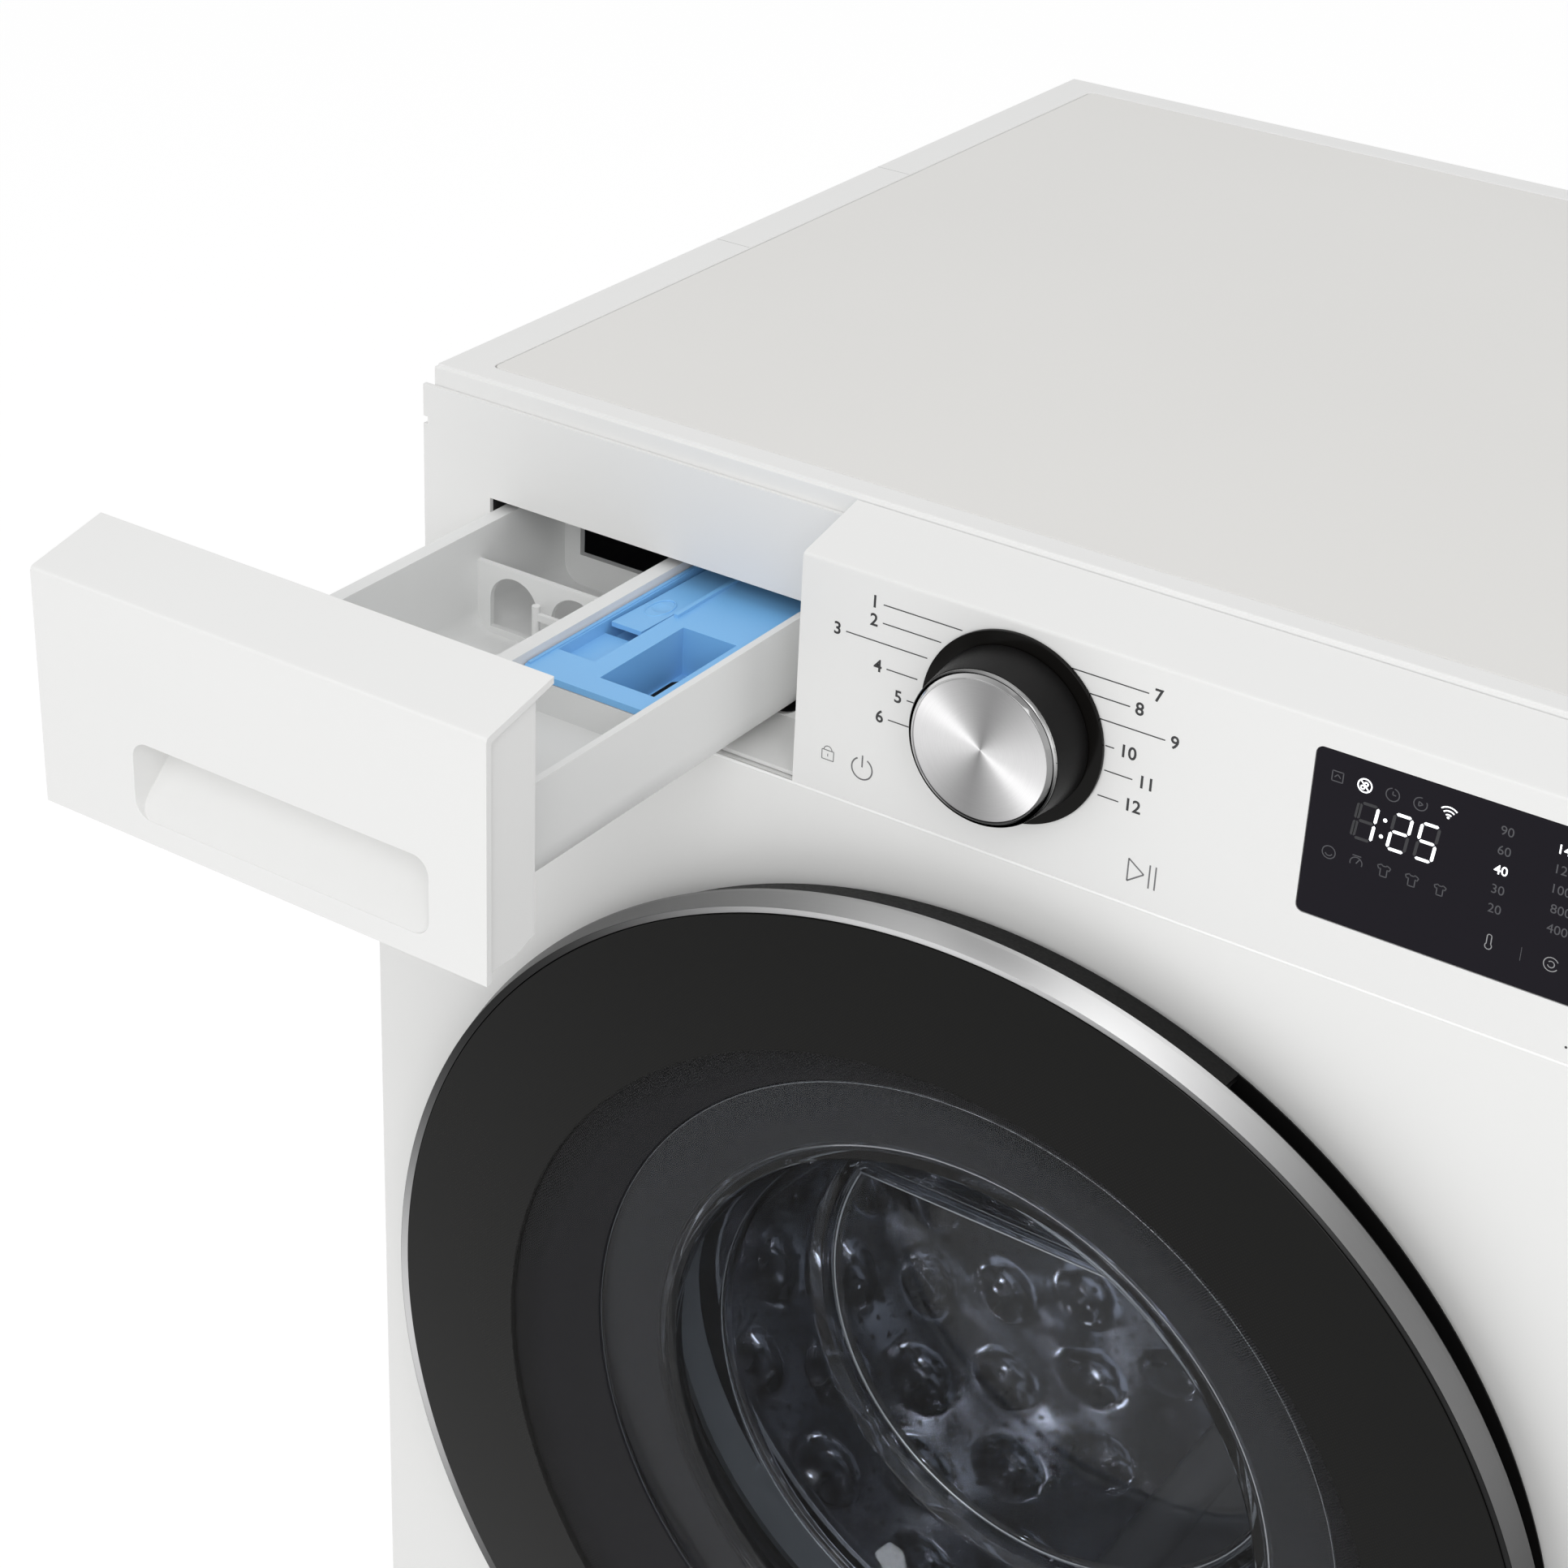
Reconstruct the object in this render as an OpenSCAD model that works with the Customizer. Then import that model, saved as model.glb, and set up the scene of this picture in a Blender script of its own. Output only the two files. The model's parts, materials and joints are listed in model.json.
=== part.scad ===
// Front loading washing machine, 600 mm wide, standing on four feet.
//
// Every piece is a module and a node of its own. X is to the right of somebody facing the door,
// Y runs to the back and Z up from the floor. Inside a module Y is counted from the face of the
// front panel; placed() moves the piece so that the origin is under the middle of the machine.
// Round pieces about the drum axis are drawn as a radius against Y and turned by turned().
// The detergent drawer is drawn pulled out, and the door shut.

/* [Cabinet] */
// Width over the side walls
body_w = 600; // [590:1:620]
// Height from the floor to the worktop
body_h = 850; // [845:1:865]
// Depth from the face of the front panel to the rear wall
body_d = 565; // [560:1:600]
// Thickness of the sheet steel
sheet = 1.5; // [1.2:0.1:1.6]
// Height of the cabinet above the floor
foot_h = 15; // [12:1:18]
// Height of the control panel, from the seam under it to the worktop
panel_h = 106.5; // [105:0.5:108]
// How far the drawer side of the fascia lies behind the dial side
recess = 34; // [32:1:35]

/* [Door and drum] */
// Height of the drum axis
axis_z = 456.5; // [454:0.5:458]
// Radius of the tinted door cover
cover_r = 260; // [258:0.2:260.4]
// How far the door stands proud of the front panel
door_out = 32.4; // [32:0.1:33.5]
// Radius of the window in the door
window_r = 175; // [173:1:176]
// Outer radius of the drum
drum_r = 247; // [240:1:248]
// Radius of the drum shaft
shaft_r = 12.5; // [12:0.5:13]

/* [Drawer] */
// How far the drawer is pulled out
drawer_out = 183.5; // [150:0.5:190]
// Width of the drawer tray
tray_w = 152; // [148:0.5:153]
// How far the rim of the tray lies under the worktop
tray_drop = 54; // [53:1:56]
// Wall of the drawer tray
tray_wall = 2.2; // [2:0.1:2.4]

/* [Dial and display] */
// How far the dial centre lies under the worktop
dial_drop = 52; // [50:1:55]
// Radius of the black dial surround
bezel_r = 37.5; // [36:0.5:38]
// Radius of the spun metal cap
cap_r = 28.5; // [27:0.5:29]
// How far the dial stands proud
dial_out = 24; // [22:1:26]
// Left edge of the display window
display_x = 116.3; // [114:0.1:118]
// Width of the display window
display_w = 155; // [150:1:156]

/* [Fits] */
// Gap between seated pieces
seat = 0.3; // [0.2:0.1:0.4]
// Radial running fit of shafts and pins
run_fit = 0.05; // [0.02:0.01:0.08]

/* [Hidden] */
$fn = 96;
rear_out = 15;                                  // the inlet nipple behind the rear wall
front_y = (drawer_out - body_d - rear_out) / 2; // puts the origin under the middle
side_x = body_w / 2;
seam_z = body_h - panel_h;                      // seam under the control panel
dial_z = body_h - dial_drop;
tray_top = body_h - tray_drop;                  // rim of the tray
hinge_x = -252.5;                               // door hinge axis, inside the door rim
hinge_y = -18;
tray_x0 = -262;                                 // left side of the tray
tray_x1 = tray_x0 + tray_w;
tray_bottom = tray_top - 46;
tray_front = 26;                                // behind the face of the drawer front
tray_len = 232;
tray_lip = 6.5;                                 // width of the rim, left and right
tray_rim = 3;
divide_x0 = -180.5;                             // wall between the compartments
divide_x1 = -173.5;
chest_y = 119.5;                                // front wall of the softener chamber
block_x = -91.8;                                // left end of the dial side of the fascia
edge_z = body_h - 10;                           // front top edge of fascia and drawer
crown_z = body_h - 2;                           // back top edge of fascia and drawer
ledge_z = body_h - 9;                           // top of the set back fascia
fascia_t = 2.1;                                 // thickness of the set back fascia
top_y = recess + fascia_t + seat;               // front edge of the worktop
rim_z = body_h - 24;                            // underside of the worktop rim
slot_x0 = tray_x0 - 3.5;                        // mouth of the drawer bay
slot_x1 = tray_x1 + 2.5;
slot_z0 = seam_z + 5;
slot_z1 = tray_top + 4;
bay_r = 16;
valve_z = body_h - 60;                          // inlet nipple and its valve
board_x = side_x - 190;                         // case of the main circuit board
board_z = body_h - 98;
bar_y = 322;                                    // cross bar that carries the tub springs
tub_r = 268;
heater_z = axis_z - tub_r + 12.6;
damper_x = tub_r - 76;                          // ears of the dampers on the tub
spring_x = tub_r + 13;                          // hooks of the tub springs
mouth_r = 186;
pump_x = -235;
face_y = -door_out;
ring_r = cover_r + 5.6;                         // outer edge of the silver ring
ring_back = face_y + 11.6;
wall_r = cover_r - 1;                           // door wall where it meets the panel
glass_y = -3.9;
flap_y = 4;                                     // hinge of the filter flap
flap_z = 36.5;
dial_x = 0.6;
skin_y = 12;                                    // depth of the front and kick panels
pump_z = 60;
tub_front_y = 61;
tub_split_y = 234;
tub_back_y = body_d - 121;
drum_front_y = 84;
drum_back_y = tub_back_y - 32;

// ---- helpers ----------------------------------------------------------------------------------

// A piece in its colour, counted from the front panel
module placed(c, a = 1) { color(c, a) translate([0, front_y, 0]) children(); }

// A piece of the drawer, counted from the face of the pulled out drawer front
module drawn(c, a = 1) { placed(c, a) translate([0, -drawer_out, 0]) children(); }

// A box between two corners
module span(a, b) { translate(a) cube(b - a); }

// A profile of radius against Y, turned about the drum axis from angle a0 to a1
module turned(a0 = 0, a1 = 360, x = 0, z = axis_z) {
    translate([x, 0, z]) mirror([0, 0, 1]) rotate([-90, 0, 0]) rotate([0, 0, a0])
        rotate_extrude(angle = a1 - a0) children();
}

// A rod or hole along Y
module rod_y(x, z, y0, y1, r) { translate([x, y0, z]) rotate([-90, 0, 0]) cylinder(r = r, h = y1 - y0); }

// A rod or hole along Z
module rod_z(x, y, z0, z1, r) { translate([x, y, z0]) cylinder(r = r, h = z1 - z0); }

// A rod or hole along X
module rod_x(y, z, x0, x1, r) { translate([x0, y, z]) rotate([0, 90, 0]) cylinder(r = r, h = x1 - x0); }

// A tube along Y
module tube_y(x, z, y0, y1, r_out, r_in) {
    difference() {
        rod_y(x, z, y0, y1, r_out);
        rod_y(x, z, y0 - 1, y1 + 1, r_in);
    }
}

// A rounded rectangle in the plane, built of squares and circles
module rounded(w, h, r) {
    translate([r, 0]) square([w - 2 * r, h]);
    translate([0, r]) square([w, h - 2 * r]);
    for (x = [r, w - r], y = [r, h - r]) translate([x, y]) circle(r = r);
}

// A rounded plate lying in X and Z, from y0 to y1
module face_plate(x0, z0, w, h, r, y0, y1) {
    translate([x0, y1, z0]) rotate([90, 0, 0]) linear_extrude(y1 - y0) rounded(w, h, r);
}

// A profile drawn in Y and Z, swept along X
module across(x0, x1) {
    translate([x0, 0, 0]) rotate([90, 0, 90]) linear_extrude(x1 - x0) children();
}

// A profile drawn in X and Z, swept along Y
module along(y0, y1) {
    translate([0, y1, 0]) rotate([90, 0, 0]) linear_extrude(y1 - y0) children();
}

// ---- cabinet ----------------------------------------------------------------------------------

// Side walls, each bent at its top and foot into a flange
module side_walls() {
    y1 = body_d - sheet - seat;
    placed([0.93, 0.93, 0.92]) difference() {
        for (s = [-1, 1]) {
            span([s > 0 ? side_x - sheet : -side_x, skin_y + 0.5, foot_h],
                 [s > 0 ? side_x : sheet - side_x, y1, rim_z]);
            span([s > 0 ? side_x - 14 : -side_x, skin_y + 0.5, rim_z - sheet],
                 [s > 0 ? side_x : 14 - side_x, y1, rim_z]);
            span([s > 0 ? side_x - 18 : -side_x, skin_y + 0.5, foot_h],
                 [s > 0 ? side_x : 18 - side_x, y1, foot_h + sheet]);
        }
        // the side walls stand back behind the control panel
        span([-side_x - 1, 0, seam_z - 0.4], [side_x + 1, recess + fascia_t + seat, body_h]);
    }
}

module rear_wall() {
    placed([0.93, 0.93, 0.92]) difference() {
        span([-side_x, body_d - sheet, foot_h], [side_x, body_d, rim_z]);
        // opening behind the motor, closed by the rear cover
        face_plate(-190, axis_z - 200, 380, 380, 40, body_d - 5, body_d + 1);
        // holes for the inlet, the drain, the cord and the transit bolts
        rod_y(-205, valve_z, body_d - 5, body_d + 1, 16);
        rod_y(-225, 120, body_d - 5, body_d + 1, 15);
        rod_y(225, 120, body_d - 5, body_d + 1, 9);
        for (x = [-230, 230], z = [axis_z - 130, axis_z + 130]) rod_y(x, z, body_d - 5, body_d + 1, 14);
    }
}

module rear_cover() {
    placed([0.80, 0.81, 0.81]) {
        difference() {
            face_plate(-200, axis_z - 210, 400, 400, 44, body_d + seat, body_d + seat + 1.2);
            for (x = [-192, 192], z = [axis_z - 180, axis_z - 10, axis_z + 160])
                rod_y(x, z, body_d, body_d + 3, 2.6);
            rod_y(0, axis_z, body_d, body_d + 3, 120);
        }
        // pressed stiffening dish over the rotor
        turned() polygon([[119, body_d + seat], [128, body_d + seat], [128, body_d + 1.4],
            [120, body_d + 6], [0, body_d + 6], [0, body_d + 4.8], [119, body_d + 4.8]]);
    }
}

module base_frame() {
    z0 = foot_h + sheet + seat;
    x = side_x - sheet - 1;
    placed([0.62, 0.64, 0.65]) difference() {
        union() {
            span([-x, 26, z0], [x, 74, z0 + 18]);
            span([-x, body_d - 76, z0], [x, body_d - 8, z0 + 18]);
            for (s = [-1, 1]) span([s > 0 ? x - 40 : -x, 74, z0], [s > 0 ? x : 40 - x, body_d - 76, z0 + 12]);
            // seats of the two dampers
            for (s = [-1, 1]) span([s > 0 ? 220 : 40 - x - 1, 272, z0],
                [s > 0 ? x - 39 : -220, 328, z0 + 16]);
        }
        span([-x + 3, 29, z0 + 2.5], [pump_x - 42, 71, z0 + 40]);
        span([pump_x + 42, 29, z0 + 2.5], [x - 62, 71, z0 + 40]);
        span([-x + 62, body_d - 73, z0 + 2.5], [x - 62, body_d - 11, z0 + 40]);
        span([pump_x - 40, 20, z0 + 8], [pump_x + 40, 80, z0 + 40]);
        for (s = [-1, 1], y = [50, body_d - 42]) rod_z(s * 262, y, z0 - 1, z0 + 30, 5.3);
    }
}

module feet() {
    placed([0.15, 0.15, 0.16]) for (s = [-1, 1], y = [50, body_d - 42]) {
        rod_z(s * 262, y, 0, 8, 21);
        rod_z(s * 262, y, 8, foot_h + 20, 5);
    }
}

module foot_nuts() {
    placed([0.72, 0.73, 0.74]) for (s = [-1, 1], y = [50, body_d - 42]) difference() {
        translate([s * 262, y, 9]) cylinder(r = 9.2, h = foot_h + sheet - 9, $fn = 6);
        rod_z(s * 262, y, 8, foot_h + 3, 5 + 0.2);
    }
}

// ---- front ------------------------------------------------------------------------------------

module front_panel() {
    z0 = 92;
    z1 = seam_z - 0.6;
    placed([0.95, 0.95, 0.94]) difference() {
        union() {
            difference() {
                face_plate(-side_x, z0, body_w, z1 - z0, 2, 0, skin_y);
                span([-side_x + sheet, sheet, z0 + sheet], [side_x - sheet, 25, z1 - sheet]);
            }
            // rolled lip of the mouth, which the rubber bellows grips
            turned() polygon([[mouth_r - sheet, 0.4], [mouth_r + 6, 0.4], [mouth_r + 6, sheet],
                [mouth_r, sheet + 1.5], [mouth_r, 14], [mouth_r - sheet, 14]]);
        }
        turned() polygon([[0, -1], [mouth_r - sheet, -1], [mouth_r - sheet, 20], [0, 20]]);
        // slot for the latch hook
        face_plate(202, axis_z - 12, 26, 24, 4, -1, 5);
        // windows for the two hinge arms
        for (s = [-1, 1]) face_plate(hinge_x + 7, axis_z + s * 28 - 9, 24, 18, 2, -1, 5);
        for (s = [-1, 1]) rod_y(-205, axis_z + s * 38, -1, 5, 2.6);
    }
}

module kick_panel() {
    z0 = foot_h + 3;
    z1 = 91.4;
    placed([0.95, 0.95, 0.94]) difference() {
        face_plate(-side_x, z0, body_w, z1 - z0, 2, 0, skin_y);
        span([-side_x + 2.5, 2.5, z0 + 2.5], [side_x - 2.5, 25, z1 - 2.5]);
        face_plate(pump_x - 50, flap_z - 5.9, 100, 55.4, 4, -1, 5);
    }
    // ears with the hinge pin holes of the flap
    placed([0.95, 0.95, 0.94]) for (s = [-1, 1]) difference() {
        span([pump_x + s * 52.5 - 1.5, 2.5, flap_z - 5], [pump_x + s * 52.5 + 1.5, 9, flap_z + 5]);
        rod_x(flap_y, flap_z, pump_x - 60, pump_x + 60, 1.5 + run_fit);
    }
}

// The door of the pump filter, on two pins near its lower edge
module filter_flap() {
    placed([0.95, 0.95, 0.94]) {
        face_plate(pump_x - 49.4, flap_z - 3.9, 98.8, 52.8, 3.6, 0, 2.4);
        for (s = [-1, 1]) {
            span([pump_x + s * 44 - 5, 1.5, flap_z - 2], [pump_x + s * 44 + 5, flap_y + 2, flap_z + 2]);
            rod_x(flap_y, flap_z, pump_x + s * 49 - 4.6, pump_x + s * 49 + 4.6, 1.5);
        }
    }
}

// Section of the front edge of fascia and drawer: an upright face under a sloping top
module brow(back_y, drop) {
    polygon([[0, drop], [0, edge_z - 2], [0.6, edge_z - 0.6], [2, edge_z],
        [back_y, edge_z + (crown_z - edge_z) * (back_y - 2) / (top_y - 2.6)], [back_y, drop]]);
}

module control_panel() {
    placed([0.95, 0.95, 0.945]) difference() {
        union() {
            // dial side: a shell with a sloping top, open to the back
            difference() {
                across(block_x, side_x) brow(top_y - 0.5, seam_z);
                across(block_x + 3, side_x - 3) polygon([[3, seam_z + 3], [3, edge_z - 4],
                    [top_y + 2, edge_z + 7.2 - 3], [top_y + 2, seam_z + 3]]);
            }
            // drawer side: the set back face with a shelf under the drawer front
            span([-side_x, recess, seam_z], [block_x + 0.1, recess + fascia_t, ledge_z]);
            across(-side_x + 0.5, block_x + 0.1) polygon([[3.6, seam_z], [recess + 1, seam_z],
                [recess + 1, slot_z0], [recess, slot_z0], [recess - 10, seam_z + 2.2], [3.6, seam_z + 1.6]]);
        }
        // mouth of the drawer bay, with round lower corners
        along(recess - 1, recess + 5) translate([slot_x0, slot_z0]) {
            translate([0, bay_r]) square([slot_x1 - slot_x0, slot_z1 - slot_z0 - bay_r]);
            translate([bay_r, 0]) square([slot_x1 - slot_x0 - 2 * bay_r, bay_r + 1]);
            for (x = [bay_r, slot_x1 - slot_x0 - bay_r]) translate([x, bay_r]) circle(r = bay_r);
        }
        // notch where the side wall hooks into the fascia
        span([-side_x - 1, recess - 1, rim_z - 2.2], [-side_x + 2.2, recess + 5, rim_z + 1]);
        // display opening with a glazing rebate
        face_plate(display_x, seam_z + 21.3, display_w, 65.2, 3, -1, 2.6);
        face_plate(display_x + 3, seam_z + 24.3, display_w - 6, 59.2, 2, -1, 5);
        // dial shaft
        rod_y(dial_x, dial_z, -1, 5, 6.5);
    }
}

module display_window() {
    placed([0.07, 0.07, 0.10]) face_plate(display_x + seat, seam_z + 21.3 + seat, display_w - 2 * seat,
        65.2 - 2 * seat, 3 - seat, 0.05, 2.6 - 0.1);
}

module dial_bezel() {
    placed([0.03, 0.03, 0.035]) turned(x = dial_x, z = dial_z)
        polygon([[7.5, -0.1], [bezel_r - 0.2, -0.1], [bezel_r, -0.5], [bezel_r - 0.8, -1.6],
            [bezel_r - 2.4, -2], [7.5, -2]]);
}

module display_board() {
    placed([0.13, 0.33, 0.22]) difference() {
        union() {
            span([-70, 20, seam_z + 18], [display_x + display_w + 6, 21.6, seam_z + 82]);
            // carrier of the display glass
            span([display_x + 8, 7, seam_z + 30], [display_x + display_w - 8, 20, seam_z + 76]);
            // rotary encoder
            span([dial_x - 8, 7, dial_z - 8], [dial_x + 8, 20, dial_z + 8]);
        }
        rod_y(dial_x, dial_z, 0, 19, 3 + run_fit);
    }
}

// ---- dial -------------------------------------------------------------------------------------

module dial_skirt() {
    placed([0.05, 0.05, 0.055]) {
        turned(x = dial_x, z = dial_z) polygon([[0, -2.5], [cap_r + 3.4, -2.5], [cap_r + 3.8, -3.2],
            [cap_r + 2, -dial_out + 3.6], [0, -dial_out + 3.6]]);
        rod_y(dial_x, dial_z, -3, 18, 3);
    }
}

module dial_chrome() {
    placed([0.82, 0.83, 0.84]) turned(x = dial_x, z = dial_z) polygon([[cap_r - 0.9, -dial_out + 3.3],
        [cap_r + 1.7, -dial_out + 3.3], [cap_r + 1.5, -dial_out + 1.4], [cap_r + 0.7, -dial_out + 0.4],
        [cap_r - 0.4, -dial_out], [cap_r - 0.9, -dial_out + 0.5]]);
}

module dial_cap() {
    placed([0.80, 0.81, 0.82]) turned(x = dial_x, z = dial_z) polygon([[0, -dial_out + 3.3],
        [cap_r - 1.0, -dial_out + 3.3], [cap_r - 1.0, -dial_out + 0.5], [0, -dial_out + 0.7]]);
}

// ---- worktop ----------------------------------------------------------------------------------

module top_rim() {
    x = side_x - 4;
    placed([0.93, 0.93, 0.915]) difference() {
        union() {
            span([-x, top_y, body_h - 10], [x, body_d - 1, body_h - 1.2]);
            span([-x + 1, top_y + 1, body_h - 10], [x - 1, body_d - 2, body_h]);
            // skirt that stands on the cabinet flange
            span([-x, top_y, rim_z + seat], [x, body_d - 1, body_h - 9.9]);
        }
        span([-x + 10, top_y + 6, rim_z - 1], [x - 10, body_d - 10, body_h - 12]);
        // rebate of the worktop board, and the hole under it
        face_plate_z(-x + 19.5, top_y + 12.4, 2 * x - 39, body_d - top_y - 29.4, 4, body_h - 10, body_h + 1);
        face_plate_z(-x + 27, top_y + 20, 2 * x - 54, body_d - top_y - 44, 4, body_h - 13, body_h - 9);
    }
}

// A rounded plate lying flat
module face_plate_z(x0, y0, w, d, r, z0, z1) {
    translate([x0, y0, z0]) linear_extrude(z1 - z0) rounded(w, d, r);
}

module top_panel() {
    x = side_x - 4;
    placed([0.90, 0.90, 0.885]) {
        face_plate_z(-x + 20, top_y + 12.9, 2 * x - 40, body_d - top_y - 30.4, 3.5,
            body_h - 10 + seat, body_h - 0.2);
    }
}

module cross_bar() {
    x = side_x - 16;
    placed([0.70, 0.71, 0.72]) {
        span([-x, bar_y, rim_z - 12], [x, bar_y + 16, rim_z - 10]);
        for (y = [bar_y, bar_y + 14.5]) span([-x, y, rim_z - 18], [x, y + 1.5, rim_z - 11]);
        // ends bent out to the flanges, each with the hook of a spring
        for (s = [-1, 1]) {
            span([s > 0 ? x - 6 : -side_x + 2.5, bar_y, rim_z - 10.1],
                 [s > 0 ? side_x - 2.5 : 6 - x, bar_y + 16, rim_z - 2]);
            rod_z(s * spring_x, bar_y + 8, rim_z - 46, rim_z - 10, 2.5);
            rod_y(s * spring_x, rim_z - 46, bar_y + 8, bar_y + 16, 2.5);
        }
    }
}

// ---- drawer bay and water way -----------------------------------------------------------------

module bay_outline(grow) {
    w = slot_x1 - slot_x0 + 2 * grow;
    h = slot_z1 - slot_z0 + 2 * grow;
    translate([slot_x0 - grow, slot_z0 - grow]) {
        translate([0, bay_r]) square([w, h - bay_r]);
        translate([bay_r, 0]) square([w - 2 * bay_r, bay_r + 1]);
        for (x = [bay_r, w - bay_r]) translate([x, bay_r]) circle(r = bay_r);
    }
}

module dispenser_housing() {
    y0 = recess + fascia_t + seat;
    placed([0.16, 0.16, 0.17]) {
        difference() {
            union() {
                along(y0, 292) bay_outline(2.4);
                along(y0, y0 + 3) bay_outline(3.4);
                rod_z(-150, 262, seam_z - 19.5, slot_z0 - 1, 20);
            }
            difference() {
                along(y0 - 1, 289.6) bay_outline(0);
                // rails under the rim of the tray
                for (e = [[slot_x0 - 1, tray_x0 - seat], [tray_x1 + seat, slot_x1 + 1]])
                    span([e[0], y0, tray_bottom + 22], [e[1], 270, tray_bottom + 25]);
                for (x = [tray_x0 + 27, tray_x1 - 22])
                    span([x, y0, slot_z0 - 1], [x + 3, 286, tray_bottom - seat]);
            }
            // open top, closed by the lid
            span([slot_x0 + 4, y0 + 10, slot_z1 - 1], [slot_x1 - 4, 284, slot_z1 + 6]);
            rod_z(-150, 262, seam_z - 23.5, slot_z0 + 4, 17.5);
        }
    }
}

module dispenser_lid() {
    z0 = slot_z1 + 2.4 + seat;
    placed([0.86, 0.87, 0.87]) difference() {
        union() {
            span([slot_x0 - 2, recess + 12, z0], [slot_x1 + 2, 291, z0 + 6]);
            rod_y(-185, z0 - 6, 292.4, 302, 5);
            span([-194, 292.3, z0 - 12], [-176, 295 - seat, z0 + 6]);
            span([-194, 290, z0], [-176, 295 - seat, z0 + 6]);
        }
        rod_y(-185, z0 - 6, 294.8, 302, 3.5);
    }
}

// The inlet hose from the valve to the lid, and the hose from the housing down to the tub
module water_hoses() {
    z = slot_z1 + 2.4 + seat - 6;
    placed([0.20, 0.20, 0.21]) {
        tube_y(-185, z, 295, body_d - 55 - seat, 7, 5 + seat);
        difference() {
            union() {
                rod_z(-150, 262, axis_z + tub_r - 26, seam_z - 1, 24);
                for (h = [axis_z + tub_r - 23 : 7 : seam_z - 8]) rod_z(-150, 262, h, h + 3, 26.5);
            }
            rod_z(-150, 262, axis_z + tub_r - 38, seam_z + 10, 20.4);
        }
    }
}

module inlet_valve() {
    z = slot_z1 + 2.4 + seat - 6;
    placed([0.90, 0.90, 0.88]) {
        // body with its coil
        difference() {
            union() {
                span([-222, body_d - 55, valve_z - 16], [-172, body_d - 11, valve_z + 18]);
                rod_y(-205, valve_z, body_d - 11.5, body_d + 1, 15.4);
                rod_y(-205, valve_z, body_d, body_d + rear_out, 13.2);
                rod_z(-205, body_d - 33, valve_z - 48, valve_z - 15.5, 13);
                rod_y(-185, z, body_d - 69, body_d - 54.5, 5);
            }
            rod_y(-205, valve_z, body_d - 9, body_d + rear_out + 1, 9);
        }
    }
}

module main_board() {
    placed([0.86, 0.87, 0.87]) difference() {
        span([board_x, bar_y + 48, board_z], [board_x + 160, body_d - 45, board_z + 38]);
        span([board_x + 3, bar_y + 51, board_z + 3], [board_x + 157, body_d - 48, board_z + 40]);
    }
    // bracket on the cross bar
    placed([0.86, 0.87, 0.87]) {
        span([board_x + 55, bar_y + 16 + seat, rim_z - 17.5], [board_x + 105, bar_y + 51, rim_z - 14]);
        span([board_x + 55, bar_y + 48, board_z + 36], [board_x + 105, bar_y + 51, rim_z - 14]);
    }
    placed([0.13, 0.33, 0.22]) span([board_x + 4, bar_y + 52, board_z + 3.2],
        [board_x + 156, body_d - 49, board_z + 5]);
}

module drain_outlet() {
    placed([0.35, 0.36, 0.37]) difference() {
        union() {
            rod_y(-225, 120, body_d - 40, body_d + rear_out, 13.5);
            rod_y(-225, 120, body_d + seat, body_d + 3, 19);
        }
        rod_y(-225, 120, body_d - 41, body_d + rear_out + 1, 10.5);
    }
}

module cord_gland() {
    placed([0.12, 0.12, 0.13]) difference() {
        union() {
            rod_y(225, 120, body_d - 10, body_d + 6, 8.6);
            rod_y(225, 120, body_d + seat, body_d + 3, 13);
        }
        rod_y(225, 120, body_d - 11, body_d + 7, 4);
    }
}

module transit_caps() {
    placed([0.90, 0.90, 0.89]) for (x = [-230, 230], z = [axis_z - 130, axis_z + 130]) {
        rod_y(x, z, body_d + seat, body_d + 3, 19);
        rod_y(x, z, body_d - 8, body_d + seat, 13.6);
    }
}

// ---- tub --------------------------------------------------------------------------------------

module tub_front() {
    placed([0.80, 0.82, 0.83]) difference() {
        union() {
            turned() polygon([[179, 46], [182.7, 46], [182.7, tub_front_y], [tub_r, tub_front_y],
                [tub_r, tub_split_y - 6], [tub_r + 6, tub_split_y - 6], [tub_r + 6, tub_split_y],
                [tub_r - 3, tub_split_y], [tub_r - 3, tub_front_y + 3], [179, tub_front_y + 3]]);
        }
        // holes of the heater
        for (s = [-1, 1]) rod_y(s * 24, heater_z, tub_front_y - 2, tub_front_y + 6, 5);
    }
}

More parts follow.
